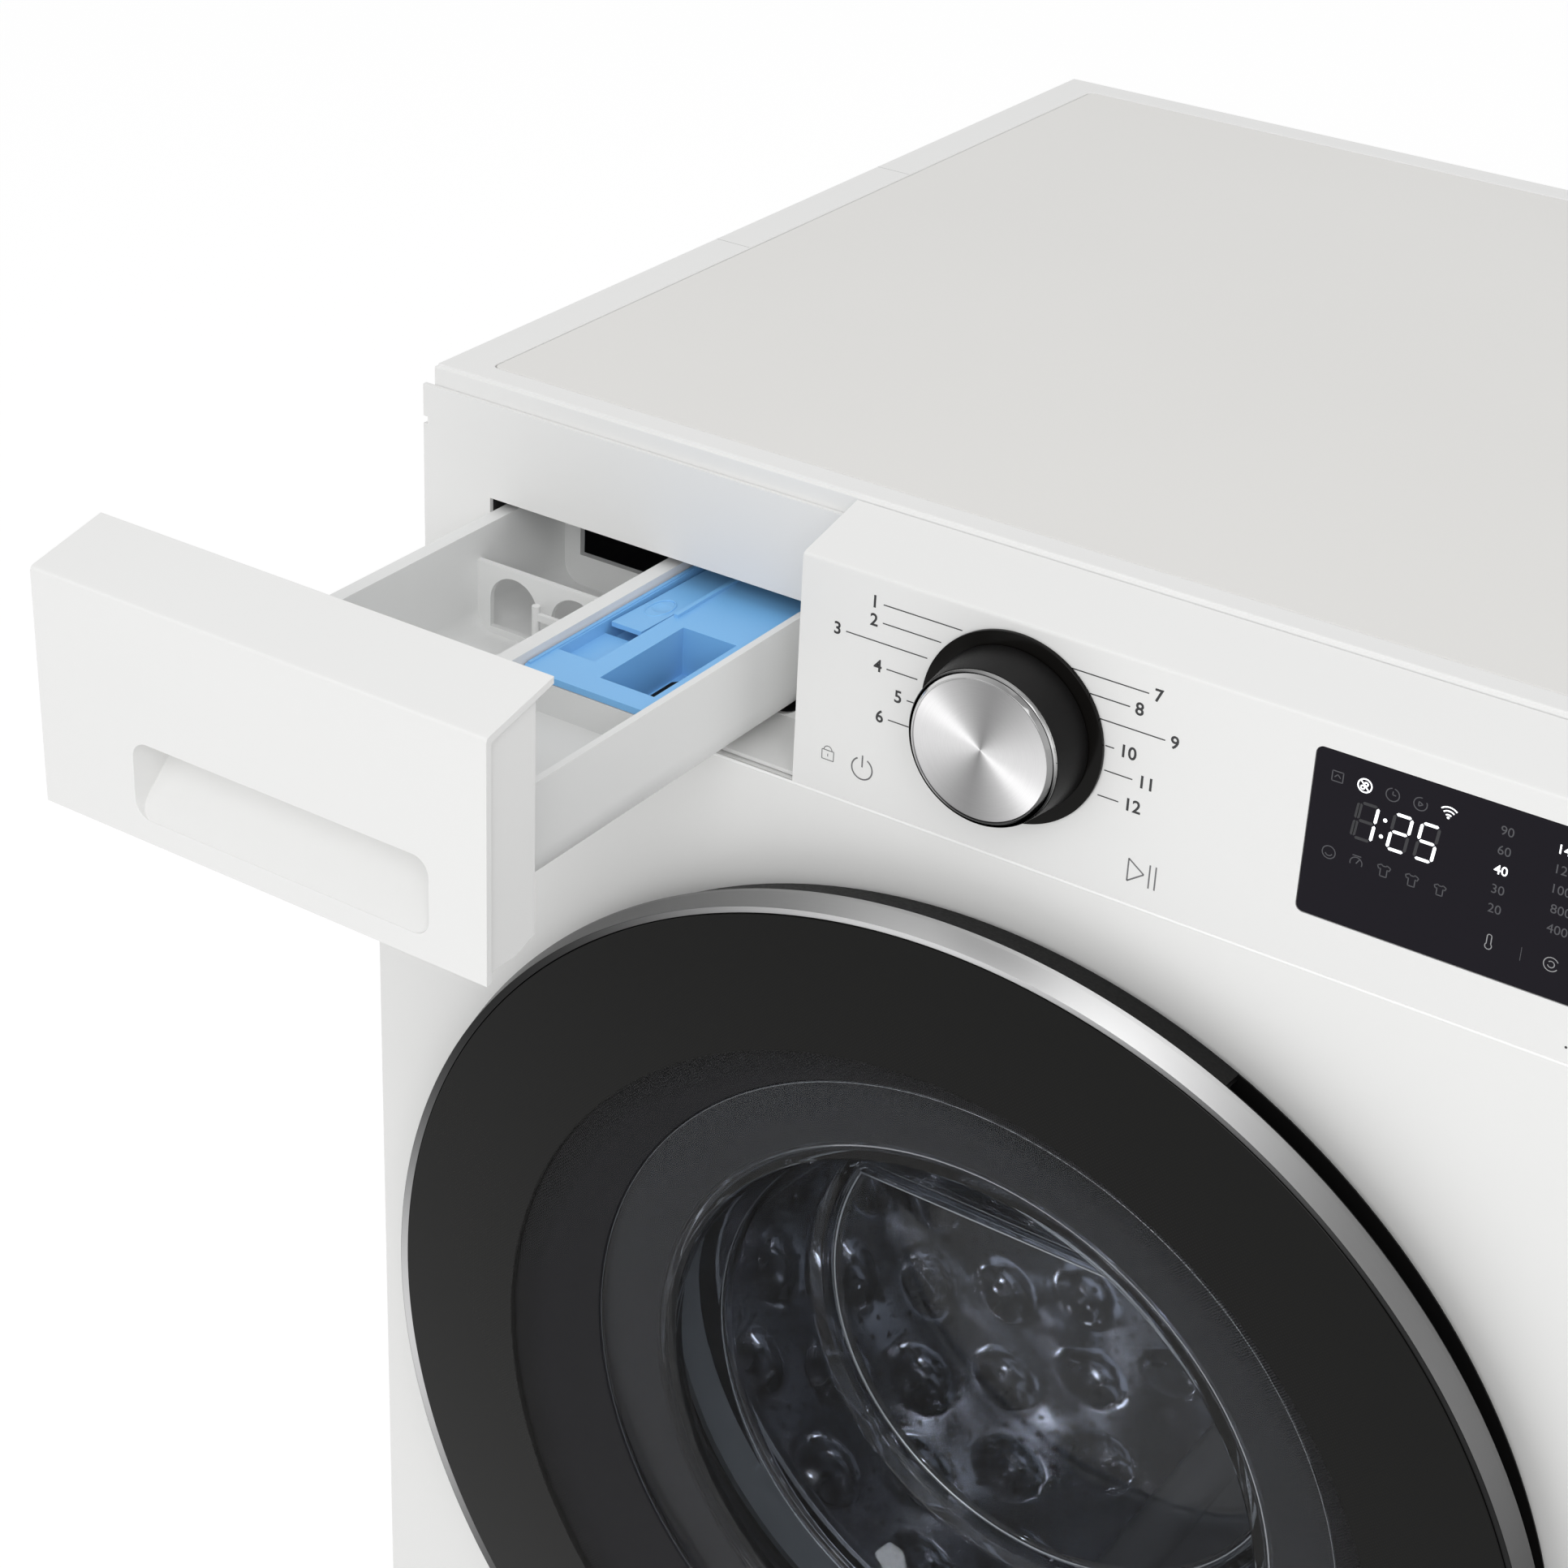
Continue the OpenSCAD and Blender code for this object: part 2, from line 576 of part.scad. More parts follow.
module tub_rear() {
    y0 = tub_split_y + seat;
    placed([0.78, 0.80, 0.81]) difference() {
        union() {
            turned() polygon([[tub_r - 3, y0], [tub_r + 6, y0], [tub_r + 6, y0 + 6], [tub_r, y0 + 6],
                [tub_r, tub_back_y + 3], [44, tub_back_y + 3], [36, tub_back_y + 44],
                [31 + seat, tub_back_y + 44], [31 + seat, tub_back_y - 6], [40, tub_back_y - 6],
                [44, tub_back_y], [tub_r - 3, tub_back_y]]);
            // ears of the springs and the dampers
            for (s = [-1, 1]) {
                span([s > 0 ? tub_r - 28 : -tub_r - 18, bar_y, axis_z + 84],
                    [s > 0 ? tub_r + 18 : 28 - tub_r, bar_y + 6 - seat, axis_z + 96]);
                span([s * damper_x - 10, 288.5, axis_z - tub_r + 48],
                    [s * damper_x + 10, 292.5, axis_z - tub_r + 88]);
            }
            // spigot of the dispenser hose
            rod_z(-150, 262, axis_z + tub_r - 68, axis_z + tub_r - 18, 20);
            // sump
            rod_z(-100, 300, axis_z - tub_r + 6, axis_z - tub_r + 28, 20);
        }
        turned() polygon([[0, y0 - 1], [tub_r - 3, y0 - 1], [tub_r - 3, tub_back_y], [44, tub_back_y],
            [40, tub_back_y - 6], [0, tub_back_y - 6]]);
        rod_z(-150, 262, axis_z + tub_r - 78, axis_z + tub_r - 8, 17);
        rod_z(-100, 300, axis_z - tub_r - 2, axis_z - tub_r + 68, 16);
    }
}

module counterweights() {
    placed([0.60, 0.60, 0.58]) difference() {
        for (a = [0, 180])
            turned(a + 28, a + 152) polygon([[tub_r - 70, 30], [tub_r - 18, 30], [tub_r - 6, 38],
                [tub_r - 6, tub_front_y - seat], [tub_r - 70, tub_front_y - seat]]);
        // room for the heater terminals
        span([-42, 20, heater_z - 19.6], [42, tub_front_y + 1, heater_z + 20.4]);
    }
}

// Two tension springs hang the tub from the cross bar; the coils are closed rings
module springs() {
    z0 = axis_z + 86;
    z1 = rim_z - 46 - 3;
    turns = 20;
    pitch = 5.4;
    coil_z = (z0 + z1 - turns * pitch) / 2;
    placed([0.45, 0.46, 0.48]) for (s = [-1, 1]) translate([s * spring_x, bar_y + 8, 0]) {
        rotate_extrude() for (i = [0 : turns - 1])
            translate([9.5, coil_z + pitch * (i + 0.5)]) circle(r = pitch * 0.56, $fn = 24);
        // shanks that end in the eyes
        for (z = [[z0, coil_z + 3], [coil_z + turns * pitch - 3, z1]]) {
            translate([0, 0, z[0]]) cylinder(r = 2, h = z[1] - z[0]);
        }
        for (z = [coil_z + 3, coil_z + turns * pitch - 3]) translate([-9.5, -2, z - 1.5]) cube([19, 4, 3]);
    }
}

// Two friction dampers between the base frame and the tub
module dampers() {
    lean = 11;
    placed([0.18, 0.18, 0.19]) for (s = [-1, 1])
        difference() {
            translate([s * (damper_x + 44), 300, foot_h + 30]) rotate([0, -s * lean, 0]) {
                translate([0, 0, -16]) cylinder(r = 12, h = 146);
                cylinder(r = 7, h = axis_z - tub_r + 19);
            }
            // flat foot on the seat of the base frame
            span([s * (damper_x + 44) - 30, 270, foot_h],
                [s * (damper_x + 44) + 30, 330, foot_h + sheet + seat + 16 + seat]);
        }
}

module bellows() {
    y0 = tub_front_y;
    placed([0.36, 0.37, 0.38]) turned() polygon([
        // grip inside the steel lip
        [mouth_r - 5.2, 3], [mouth_r - sheet - seat, 3], [mouth_r - sheet - seat, 14.6],
        [mouth_r + 3, 14.6], [mouth_r + 7, 19], [mouth_r + 7, y0 - 17], [mouth_r + 2, y0 - 11],
        [183, y0 - 11], [183, y0 - 14], [mouth_r + 0.6, y0 - 14], [mouth_r + 3.8, y0 - 18],
        [mouth_r + 3.8, 21], [mouth_r + 2, 18],
        // sealing lip that bears on the glass of the door
        [160, 18], [146, 12.8], [146, 10.4], [161, 15], [mouth_r - 5.2, 14.8]]);
}

module heater() {
    z = heater_z;
    placed([0.75, 0.76, 0.78]) {
        for (s = [-1, 1]) rod_y(s * 24, z, 48, 200, 3.4);
        translate([0, 200, z]) rotate_extrude(angle = 180) translate([24, 0]) circle(r = 3.4, $fn = 32);
        span([-34, tub_front_y - seat - 4.5, z - 8], [34, tub_front_y - seat, z + 8]);
    }
}

// ---- drum -------------------------------------------------------------------------------------

module drum_shell() {
    placed([0.74, 0.75, 0.77]) turned() polygon([[drum_r - 1.2, drum_front_y], [drum_r, drum_front_y],
        [drum_r, drum_back_y], [drum_r - 1.2, drum_back_y]]);
}

module drum_front() {
    y0 = drum_front_y;
    placed([0.76, 0.77, 0.79]) turned() polygon([[173, y0 - 10], [175, y0 - 11.5], [177, y0 - 10],
        [177, y0 - 5], [drum_r - 6, y0 - 2], [drum_r, y0 - seat], [drum_r - 3, y0 - seat],
        [drum_r - 8, y0 - 0.8], [175, y0 - 3.4], [173, y0 - 6]]);
}

module drum_back() {
    placed([0.74, 0.75, 0.77]) difference() {
        turned() polygon([[0, drum_back_y + seat], [drum_r, drum_back_y + seat],
            [drum_r, drum_back_y + 1.8], [0, drum_back_y + 1.8]]);
        rod_y(0, axis_z, drum_back_y - 1, drum_back_y + 3, 6);
    }
}

module lifters() {
    placed([0.60, 0.62, 0.64]) for (a = [90, 210, 330])
        translate([0, 0, axis_z]) rotate([0, a, 0])
            along(drum_front_y + 28, drum_back_y - 24) difference() {
                union() {
                    polygon([[drum_r - 3.6, -32], [drum_r - 1.2 - seat, 0], [drum_r - 3.6, 32],
                        [206, 13], [206, -13]]);
                    translate([206, 0]) circle(r = 13);
                }
                polygon([[drum_r - 2, -29], [drum_r, 0], [drum_r - 2, 29], [207, 10.4], [207, -10.4]]);
                translate([206, 0]) circle(r = 10.4);
            }
}

module spider() {
    y0 = drum_back_y + 2.2;
    placed([0.66, 0.67, 0.69]) difference() {
        union() {
            rod_y(0, axis_z, y0, y0 + 21, 30);
            for (a = [90, 210, 330]) translate([0, 0, axis_z]) rotate([0, a, 0])
                span([0, y0, -16], [drum_r - 14, y0 + 12, 16]);
        }
        rod_y(0, axis_z, y0 - 1, y0 + 30, shaft_r + 0.02);
    }
}

module drum_shaft() {
    placed([0.70, 0.71, 0.73]) rod_y(0, axis_z, drum_back_y + 2.4, tub_back_y + 68, shaft_r);
}

module bearings() {
    placed([0.55, 0.56, 0.58]) for (y = [tub_back_y - 5, tub_back_y + 26]) difference() {
        rod_y(0, axis_z, y, y + 16, 31);
        rod_y(0, axis_z, y - 1, y + 17, shaft_r + run_fit);
    }
}

module stator() {
    y0 = tub_back_y + 3 + seat;
    placed([0.62, 0.36, 0.20]) difference() {
        union() {
            rod_y(0, axis_z, y0, y0 + 30, 96);
            // wound teeth
            for (a = [0 : 10 : 350]) translate([0, 0, axis_z]) rotate([0, a, 0])
                span([94, y0 + 2, -4], [118, y0 + 28, 4]);
        }
        rod_y(0, axis_z, y0 - 1, y0 + 31, 60);
    }
}

module rotor() {
    y0 = tub_back_y + 6;
    placed([0.56, 0.57, 0.58]) difference() {
        turned() polygon([[121, y0], [134, y0], [134, y0 + 44], [22, y0 + 44], [22, y0 + 50],
            [shaft_r + 0.02, y0 + 50], [shaft_r + 0.02, y0 + 40], [121, y0 + 40]]);
        for (a = [15 : 30 : 345]) rod_y(80 * cos(a), axis_z + 80 * sin(a), y0 + 38, y0 + 46, 12);
    }
}

// ---- door -------------------------------------------------------------------------------------

// Room for the hinge: fixed arms sweep through it as the door swings
module hinge_pocket() {
    intersection() {
        rod_z(hinge_x, hinge_y, axis_z - 37, axis_z + 37, 36);
        span([-300, ring_back + 0.5, axis_z - 40], [-200, 5, axis_z + 40]);
    }
    rod_z(hinge_x, hinge_y, axis_z - 37, axis_z + 37, 6.6);
}

module door_ring() {
    placed([0.72, 0.73, 0.74]) turned() polygon([[cover_r + 0.3, ring_back], [cover_r + 0.3, face_y + 1],
        [cover_r + 3, face_y], [cover_r + 3.4, face_y + 0.2], [ring_r, face_y + 9.2], [ring_r, ring_back]]);
}

module door_cover() {
    placed([0.06, 0.06, 0.065], 0.75) turned() polygon([[0, face_y + 0.6], [cover_r - 1, face_y + 0.6],
        [cover_r, face_y + 1.4], [cover_r, face_y + 3.6], [0, face_y + 3.6]]);
}

module door_frame() {
    placed([0.055, 0.055, 0.06]) {
        difference() {
            turned() polygon([[cover_r, face_y + 3.9], [cover_r, ring_back + seat], [ring_r - 1, ring_back + seat],
                [wall_r + 1.2, glass_y - 0.3], [wall_r - 1.8, glass_y - 0.3], [cover_r + 0.6, ring_back + 2.6],
                [cover_r - 3.6, face_y + 6.4], [204.5, face_y + 6.4], [window_r + 4.4, glass_y - 0.3],
                [window_r + 0.6, glass_y - 0.3], [201.5, face_y + 3.9]]);
            hinge_pocket();
            // finger scoop in the wall, upper right to just below the middle
            turned(-24, 66) polygon([[wall_r - 8, ring_back + 2.4], [ring_r + 2, ring_back + 2.4],
                [ring_r + 2, 0], [wall_r - 8, 0]]);
        }
        // floor and ends of the finger scoop
        turned(-24.6, 66.6) polygon([[wall_r - 11, face_y + 5], [wall_r - 8.2, face_y + 5],
            [wall_r - 8.2, glass_y - 0.5], [wall_r - 11, glass_y - 0.5]]);
        for (a = [-24.8, 65.8]) turned(a, a + 1) polygon([[wall_r - 10, face_y + 5.4], [cover_r - 2, face_y + 5.4],
            [cover_r + 1, ring_back + 1], [wall_r - 0.6, glass_y - 0.7], [wall_r - 10, glass_y - 0.7]]);
        // posts that carry the hinge arm
        for (s = [-1, 1]) rod_y(-207.5, axis_z + s * 12, face_y + 6.2, hinge_y - 2 - seat, 4.6);
    }
}

module door_glass() {
    // a flat flange, a slanting wall and a shallow domed bottom
    deep = 86;
    dome = 8;
    bowl_r = 142;                               // the wall where it leaves the flange
    wall = 5;
    placed([0.75, 0.80, 0.82], 0.35) turned() polygon(concat(
        [[window_r, glass_y], [window_r, glass_y + wall], [bowl_r + 3, glass_y + wall],
            [bowl_r, glass_y + wall + 3], [125, deep - 6], [120, deep]],
        [for (a = [1 : 8]) [120 * cos(a * 11.25), deep + dome * sin(a * 11.25)]],
        [for (a = [8 : -1 : 1]) [114 * cos(a * 11.25), deep - wall + dome * sin(a * 11.25)]],
        [[114.5, deep - wall], [120, deep - 8], [bowl_r - 5, glass_y + 5], [bowl_r - 2, glass_y]]));
}

module door_inner_frame() {
    placed([0.16, 0.16, 0.17]) difference() {
        turned() polygon([[wall_r - 3, glass_y], [wall_r - 3, -1.4], [window_r + 6, -1.4], [window_r + 4, 5],
            [146.5, 5],
            [146.5, glass_y + 5.3], [window_r + 0.3, glass_y + 5.3], [window_r + 0.3, glass_y]]);
        hinge_pocket();
        turned(-24, 66) polygon([[wall_r - 8, -10], [ring_r, -10], [ring_r, 2], [wall_r - 8, 2]]);
        // slot of the latch hook
        span([208, -10, axis_z - 7.3], [214.3, 2, axis_z + 7.3]);
    }
}

module door_hinge_arm() {
    placed([0.62, 0.63, 0.64]) difference() {
        union() {
            rod_z(hinge_x, hinge_y, axis_z - 21.5, axis_z + 21.5, 5.6);
            span([hinge_x, hinge_y - 2, axis_z - 21.5], [-201.5, hinge_y + 2, axis_z + 21.5]);
        }
        rod_z(hinge_x, hinge_y, axis_z - 23, axis_z + 23, 3 + run_fit);
    }
}

module door_latch_hook() {
    placed([0.70, 0.71, 0.72]) {
        along_z(axis_z - 7, axis_z + 7) polygon([[208.3, face_y + 6.7], [214, face_y + 6.7],
            [214, 20], [217, 20], [212, 26], [208.3, 26]]);
    }
}

// A profile drawn in X and Y, raised along Z
module along_z(z0, z1) { translate([0, 0, z0]) linear_extrude(z1 - z0) children(); }

module hinge_bracket() {
    placed([0.66, 0.67, 0.68]) {
        difference() {
            union() {
                span([hinge_x - 9.5, sheet + seat, axis_z - 46], [-196, 4.8, axis_z + 46]);
                for (s = [-1, 1]) {
                    rod_z(hinge_x, hinge_y, axis_z + s * 28 - 6, axis_z + s * 28 + 6, 5.6);
                    along_z(axis_z + s * 28 - 6, axis_z + s * 28 + 6) polygon([
                        [hinge_x - 2, hinge_y + 2.2], [hinge_x + 16.3, 2.5], [hinge_x + 27, 2.5],
                        [hinge_x + 4, hinge_y - 3.2]]);
                }
            }
            for (s = [-1, 1]) rod_y(-205, axis_z + s * 38, 0, 6, 2.2);
        }
        rod_z(hinge_x, hinge_y, axis_z - 34, axis_z + 34, 3);
    }
}

module door_lock() {
    placed([0.20, 0.20, 0.21]) difference() {
        span([198, sheet + seat, axis_z - 40], [238, 36, axis_z + 40]);
        span([203, 0, axis_z - 10], [224, 32, axis_z + 10]);
    }
}

// ---- pump -------------------------------------------------------------------------------------

module pump_housing() {
    placed([0.83, 0.84, 0.84]) {
        difference() {
            union() {
                rod_y(pump_x, pump_z, 34, 190, 31);
                rod_z(pump_x, 95, pump_z + 20, pump_z + 44, 15);
            }
            rod_y(pump_x, pump_z, 33, 132, 27.5);
            rod_z(pump_x, 95, pump_z + 10, pump_z + 50, 12);
            // motor end is slimmer than the filter end
            difference() {
                rod_y(pump_x, pump_z, 136, 191, 40);
                rod_y(pump_x, pump_z, 130, 192, 25);
            }
            rod_y(pump_x, pump_z, 130, 150, 2 + run_fit);
        }
    }
}

module filter_knob() {
    placed([0.24, 0.42, 0.66]) {
        rod_y(pump_x, pump_z, 24.5, 33.6, 29);
        rod_y(pump_x, pump_z, 33, 40, 27);
        difference() {
            rod_y(pump_x, pump_z, 38, 108, 24);
            rod_y(pump_x, pump_z, 42, 109, 21.5);
            for (a = [30 : 60 : 330]) translate([pump_x, 0, pump_z]) rotate([0, a, 0])
                span([14, 52, -6], [30, 98, 6]);
        }
        // grip across the knob
        span([pump_x - 24, 12, pump_z - 3.5], [pump_x + 24, 25, pump_z + 3.5]);
    }
}

module pump_impeller() {
    placed([0.22, 0.22, 0.24]) {
        rod_y(pump_x, pump_z, 114, 148, 2);
        rod_y(pump_x, pump_z, 114, 129, 5);
        for (a = [0 : 60 : 300]) translate([pump_x, 0, pump_z]) rotate([0, a, 0])
            span([0, 116, -1.2], [20, 128, 1.2]);
    }
}

// Hose from the pump inlet slanting back and up to the sump of the tub
module sump_hose() {
    z0 = pump_z + 44;
    a = [pump_x, 95, z0 + 12];
    b = [-100, 300, axis_z - tub_r - 22];
    placed([0.17, 0.17, 0.18]) difference() {
        union() {
            rod_z(a[0], a[1], z0 - 12, a[2], 18);
            hose_run(a, b, 16, 0);
            translate(a) sphere(r = 17);
            translate(b) sphere(r = 17);
            rod_z(b[0], b[1], b[2], axis_z - tub_r + 6 - seat, 18);
        }
        rod_z(a[0], a[1], z0 - 20, a[2], 15.4);
        hose_run(a, b, 13, 1);
        rod_z(b[0], b[1], b[2], axis_z - tub_r + 18, 13);
    }
}

// A straight run of hose from a to b
module hose_run(a, b, r, extra) {
    d = b - a;
    translate(a) rotate([0, acos(d[2] / norm(d)), atan2(d[1], d[0])])
        translate([0, 0, -extra]) cylinder(r = r, h = norm(d) + 2 * extra);
}

// ---- drawer -----------------------------------------------------------------------------------

front_x0 = -side_x + 0.6;                       // left end of the drawer front
front_x1 = block_x - 1.1;
front_z0 = seam_z + 0.8;
grip_x0 = -254;                                 // scooped grip in the drawer front
grip_w = 136;
grip_z0 = front_z0 + 9.5;
grip_h = 31;

module drawer_front() {
    drawn([0.95, 0.95, 0.945]) difference() {
        union() {
            // face and sloping top
            across(front_x0, front_x1) polygon([[0, front_z0], [0, edge_z - 2], [0.6, edge_z - 0.6],
                [2, edge_z], [top_y - 0.6, crown_z], [top_y - 0.6, crown_z - 2.8], [3.4, edge_z - 3],
                [2.8, edge_z - 4], [2.8, front_z0]]);
            // side walls, set in from the ends of the face
            for (x = [front_x0 + 1.5, front_x1 - 4]) across(x, x + 2.5) polygon([[2.4, front_z0 + 3],
                [18, front_z0 + 3], [28, front_z0 + 6.5], [28, edge_z + 3.6], [2.4, edge_z - 3.6]]);
            span([front_x0 + 2, 2.4, front_z0 + 3], [front_x1 - 2, 20, front_z0 + 5.2]);
            // struts that carry the tray
            for (x = [tray_x0 + 14, tray_x1 - 34])
                span([x, 2.4, tray_top - 10], [x + 20, tray_front, tray_top - 0.5]);
            // hood behind the grip
            across(grip_x0 - 2.6, grip_x0 + grip_w + 2.6) polygon([[2, grip_z0 - 1.5], [22, grip_z0 + 19],
                [23, grip_z0 + grip_h + 2.5], [2, grip_z0 + grip_h + 2.5]]);
        }
        // the grip slopes in from its lower edge to a ledge for the fingers
        intersection() {
            across(grip_x0 - 1, grip_x0 + grip_w + 1) polygon([[-1, grip_z0 - 1], [0.3, grip_z0],
                [18, grip_z0 + 17], [20, grip_z0 + 21], [20.4, grip_z0 + grip_h + 0.5],
                [-1, grip_z0 + grip_h + 0.5]]);
            face_plate(grip_x0, grip_z0, grip_w, grip_h, 7, -2, 30);
        }
    }
}

// Outline of the tray across the machine, with round lower corners
module tray_outline(x0, x1, z0, z1, r) {
    translate([x0, z0]) {
        translate([0, r]) square([x1 - x0, z1 - z0 - r]);
        translate([r, 0]) square([x1 - x0 - 2 * r, r + 1]);
        for (x = [r, x1 - x0 - r]) translate([x, r]) circle(r = r);
    }
}

module drawer_tray() {
    y0 = tray_front + seat;
    y1 = tray_front + tray_len;
    floor_z = tray_bottom + tray_wall;
    arch_y = 197;
    belly = 44;
    drawn([0.82, 0.83, 0.835]) {
        difference() {
            intersection() {
                along(y0, y1) tray_outline(tray_x0, tray_x1, tray_bottom, tray_top, 18);
                // the belly is round at the front
                union() {
                    span([tray_x0, y0 + belly, tray_bottom], [tray_x1, y1, tray_top]);
                    span([tray_x0, y0, tray_bottom + belly - 1], [tray_x1, y0 + belly, tray_top]);
                    rod_x(y0 + belly, tray_bottom + belly, tray_x0, tray_x1, belly);
                }
            }
            // main compartment, before and behind the arched wall
            intersection() {
                along(y0 + 3, arch_y) tray_outline(tray_x0 + tray_lip, divide_x0, floor_z, tray_top + 9, 9);
                union() {
                    span([tray_x0, y0 + belly, tray_bottom], [tray_x1, y1, tray_top + 9]);
                    span([tray_x0, y0, tray_bottom + belly - 1], [tray_x1, y0 + belly, tray_top + 9]);
                    rod_x(y0 + belly, tray_bottom + belly, tray_x0, tray_x1, belly - 3);
                }
            }
            along(arch_y + 2.4, y1 - 3) tray_outline(tray_x0 + tray_lip, divide_x0, floor_z, tray_top + 1, 9);
            span([tray_x0 + tray_lip, arch_y - 1, tray_top - 13], [divide_x0, arch_y + 4, tray_top + 1]);
            span([tray_x0 + tray_lip + 8, y1 - 4, floor_z + 14], [divide_x0 - 8, y1 + 1, tray_top + 1]);
            // arches the water leaves by
            for (x = [tray_x0 + 25, tray_x0 + 56]) {
                rod_y(x, floor_z + 15, arch_y - 1, arch_y + 4, 12);
                span([x - 12, arch_y - 1, floor_z + 3], [x + 12, arch_y + 4, floor_z + 15]);
            }
            // pit in front of the softener chamber
            intersection() {
                across(divide_x1, tray_x1 - tray_rim) polygon([[y0 + 3, tray_top + 1], [y0 + 3, tray_top - 12],
                    [y0 + 9, floor_z + 22], [y0 + 20, floor_z + 10], [y0 + 32, floor_z + 6], [84, floor_z + 5],
                    [84, floor_z + 16], [chest_y, floor_z + 24], [chest_y, tray_top + 1]]);
                along(y0, y1) tray_outline(divide_x1, tray_x1 - tray_rim, floor_z, tray_top + 2, 15);
            }
            // softener chamber
            along(chest_y + 2.2, y1 - 3) tray_outline(divide_x1, tray_x1 - tray_rim, floor_z, tray_top + 1, 15);
            span([divide_x1, chest_y - 0.5, cap_z - seat], [tray_x1 - tray_rim, chest_y + 3, tray_top + 1]);
        }
        // post with a cross bar before the arches
        rod_z(tray_x0 + 41, arch_y - 6, floor_z - 0.5, tray_top - 21, 1.7);
        span([tray_x0 + 41, arch_y - 7, tray_top - 27], [divide_x0 + 0.5, arch_y - 5, tray_top - 24]);
        // ledges for the softener cap
        for (e = [[divide_x1 - 0.5, 136], [tray_x1 - tray_rim - 1.7, y1 - 2]])
            span([e[0], chest_y + 1, cap_z - 4 - seat], [e[0] + 2.2, e[1], cap_z - seat]);
        // standing siphon pipe
        difference() {
            rod_z(siphon_x, siphon_y, floor_z - 0.5, cap_z - 8, 4.5);
            rod_z(siphon_x, siphon_y, tray_bottom - 1, cap_z, 2.8);
        }
    }
}

cap_z = tray_top - 6.7;                         // underside of the softener cap
cap_t = 2.7;
siphon_x = -132;
siphon_y = 236;
tab_x0 = -169.4;                                // sprung tongue in the softener cap
tab_x1 = -155.2;
tab_y0 = 171.5;
tab_y1 = 246;
tab_z = cap_z - 0.4;                            // its pin

module softener_cap() {
    x0 = divide_x1 + 0.4;
    x1 = tray_x1 - tray_rim - 0.4;
    y0 = chest_y + 0.3;
    y1 = 253;
    top = cap_z + cap_t;
    well_x0 = -144.6;
    well_x1 = x1 - 6.5;
    drawn([0.40, 0.66, 0.93]) difference() {
        union() {
            face_plate_z(x0, y0, x1 - x0, y1 - y0, 4, cap_z, top);
            // walls of the tongue channel and of the well, under the plate
            span([tab_x0 - 3.2, 138, cap_z - 8], [tab_x1 + 3.2, y1 - 1, cap_z + 0.5]);
            span([well_x0 - 1.6, 129.2, cap_z - 19], [well_x1 + 1.6, 185.8, cap_z + 0.5]);
            // raised edge and ridge
            span([tab_x1 + 2.6, 189, top - 0.5], [tab_x1 + 4.4, y1 - 1, top + 1.4]);
            span([x0 + 0.4, y0 + 4, top - 0.5], [x0 + 1.8, y1 - 1, top + 0.7]);
            // sleeve over the siphon pipe
            rod_z(siphon_x, siphon_y, cap_z - 31, cap_z + 0.5, 8.4);
        }
        // channel: shallow in front, deep under the tongue
        span([tab_x0 - 1.4, 140, cap_z - 2.2], [tab_x1 + 1.4, tab_y0 - 1, top + 3]);
        span([tab_x0 - 1.4, tab_y0 - 2, cap_z - 6.4], [tab_x1 + 1.4, tab_y1 + 3, top + 3]);
        rod_x(tab_y1 - 2, tab_z, tab_x0 - 2.6, tab_x1 + 2.6, 1.2 + run_fit);
        // well with a floor that opens into the chamber
        span([well_x0, 131, cap_z - 17.4], [well_x1, 184, top + 3]);
        span([well_x0 + 14, 134, cap_z - 22], [well_x1 - 1, 153, cap_z - 16]);
        rod_z(siphon_x, siphon_y, cap_z - 35, cap_z - 3, 6.6);
    }
}

module push_tab() {
    drawn([0.42, 0.68, 0.94]) {
        difference() {
            across(tab_x0, tab_x1) polygon([[tab_y0, cap_z + 0.4], [tab_y0 + 22, cap_z - 1.2],
                [tab_y1, cap_z - 1.2], [tab_y1, cap_z + 0.6], [tab_y0 + 24, cap_z + 1.6],
                [tab_y0, cap_z + 2.4]]);
            // dished finger pad
            translate([(tab_x0 + tab_x1) / 2, tab_y0 + 23, cap_z + 20]) sphere(r = 18.9);
        }
        rod_x(tab_y1 - 2, tab_z, tab_x0 - 2.2, tab_x1 + 2.2, 1.2);
    }
}

// ---- draw -------------------------------------------------------------------------------------

side_walls();
rear_wall();
rear_cover();
base_frame();
kick_panel();
front_panel();
control_panel();
display_window();
dial_bezel();
display_board();
dispenser_housing();
dispenser_lid();
inlet_valve();
water_hoses();
drain_outlet();
cord_gland();
main_board();
top_rim();
top_panel();
cross_bar();
feet();
foot_nuts();
tub_front();
tub_rear();
counterweights();
springs();
dampers();
bellows();
door_lock();
hinge_bracket();
stator();
bearings();
pump_housing();
sump_hose();
heater();
transit_caps();
drum_shell();
drum_front();
drum_back();
lifters();
spider();
drum_shaft();
rotor();
door_ring();
door_cover();
door_frame();
door_glass();
door_inner_frame();
door_hinge_arm();
door_latch_hook();
drawer_front();
drawer_tray();
softener_cap();
push_tab();
dial_skirt();
dial_chrome();
dial_cap();
filter_flap();
filter_knob();
pump_impeller();
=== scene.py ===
# %% [markdown]
# # Front loading washing machine
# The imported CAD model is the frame. It gives the true size and place of each piece, and it is never
# moved or changed. This script adds what the eye looks for: soft edges, spun metal, glass, the drum
# behind the window, prints and small lights. Every position is read from the frame.

# %% Load the frame
import json
import math
import bmesh
import bpy
from mathutils import Matrix, Vector


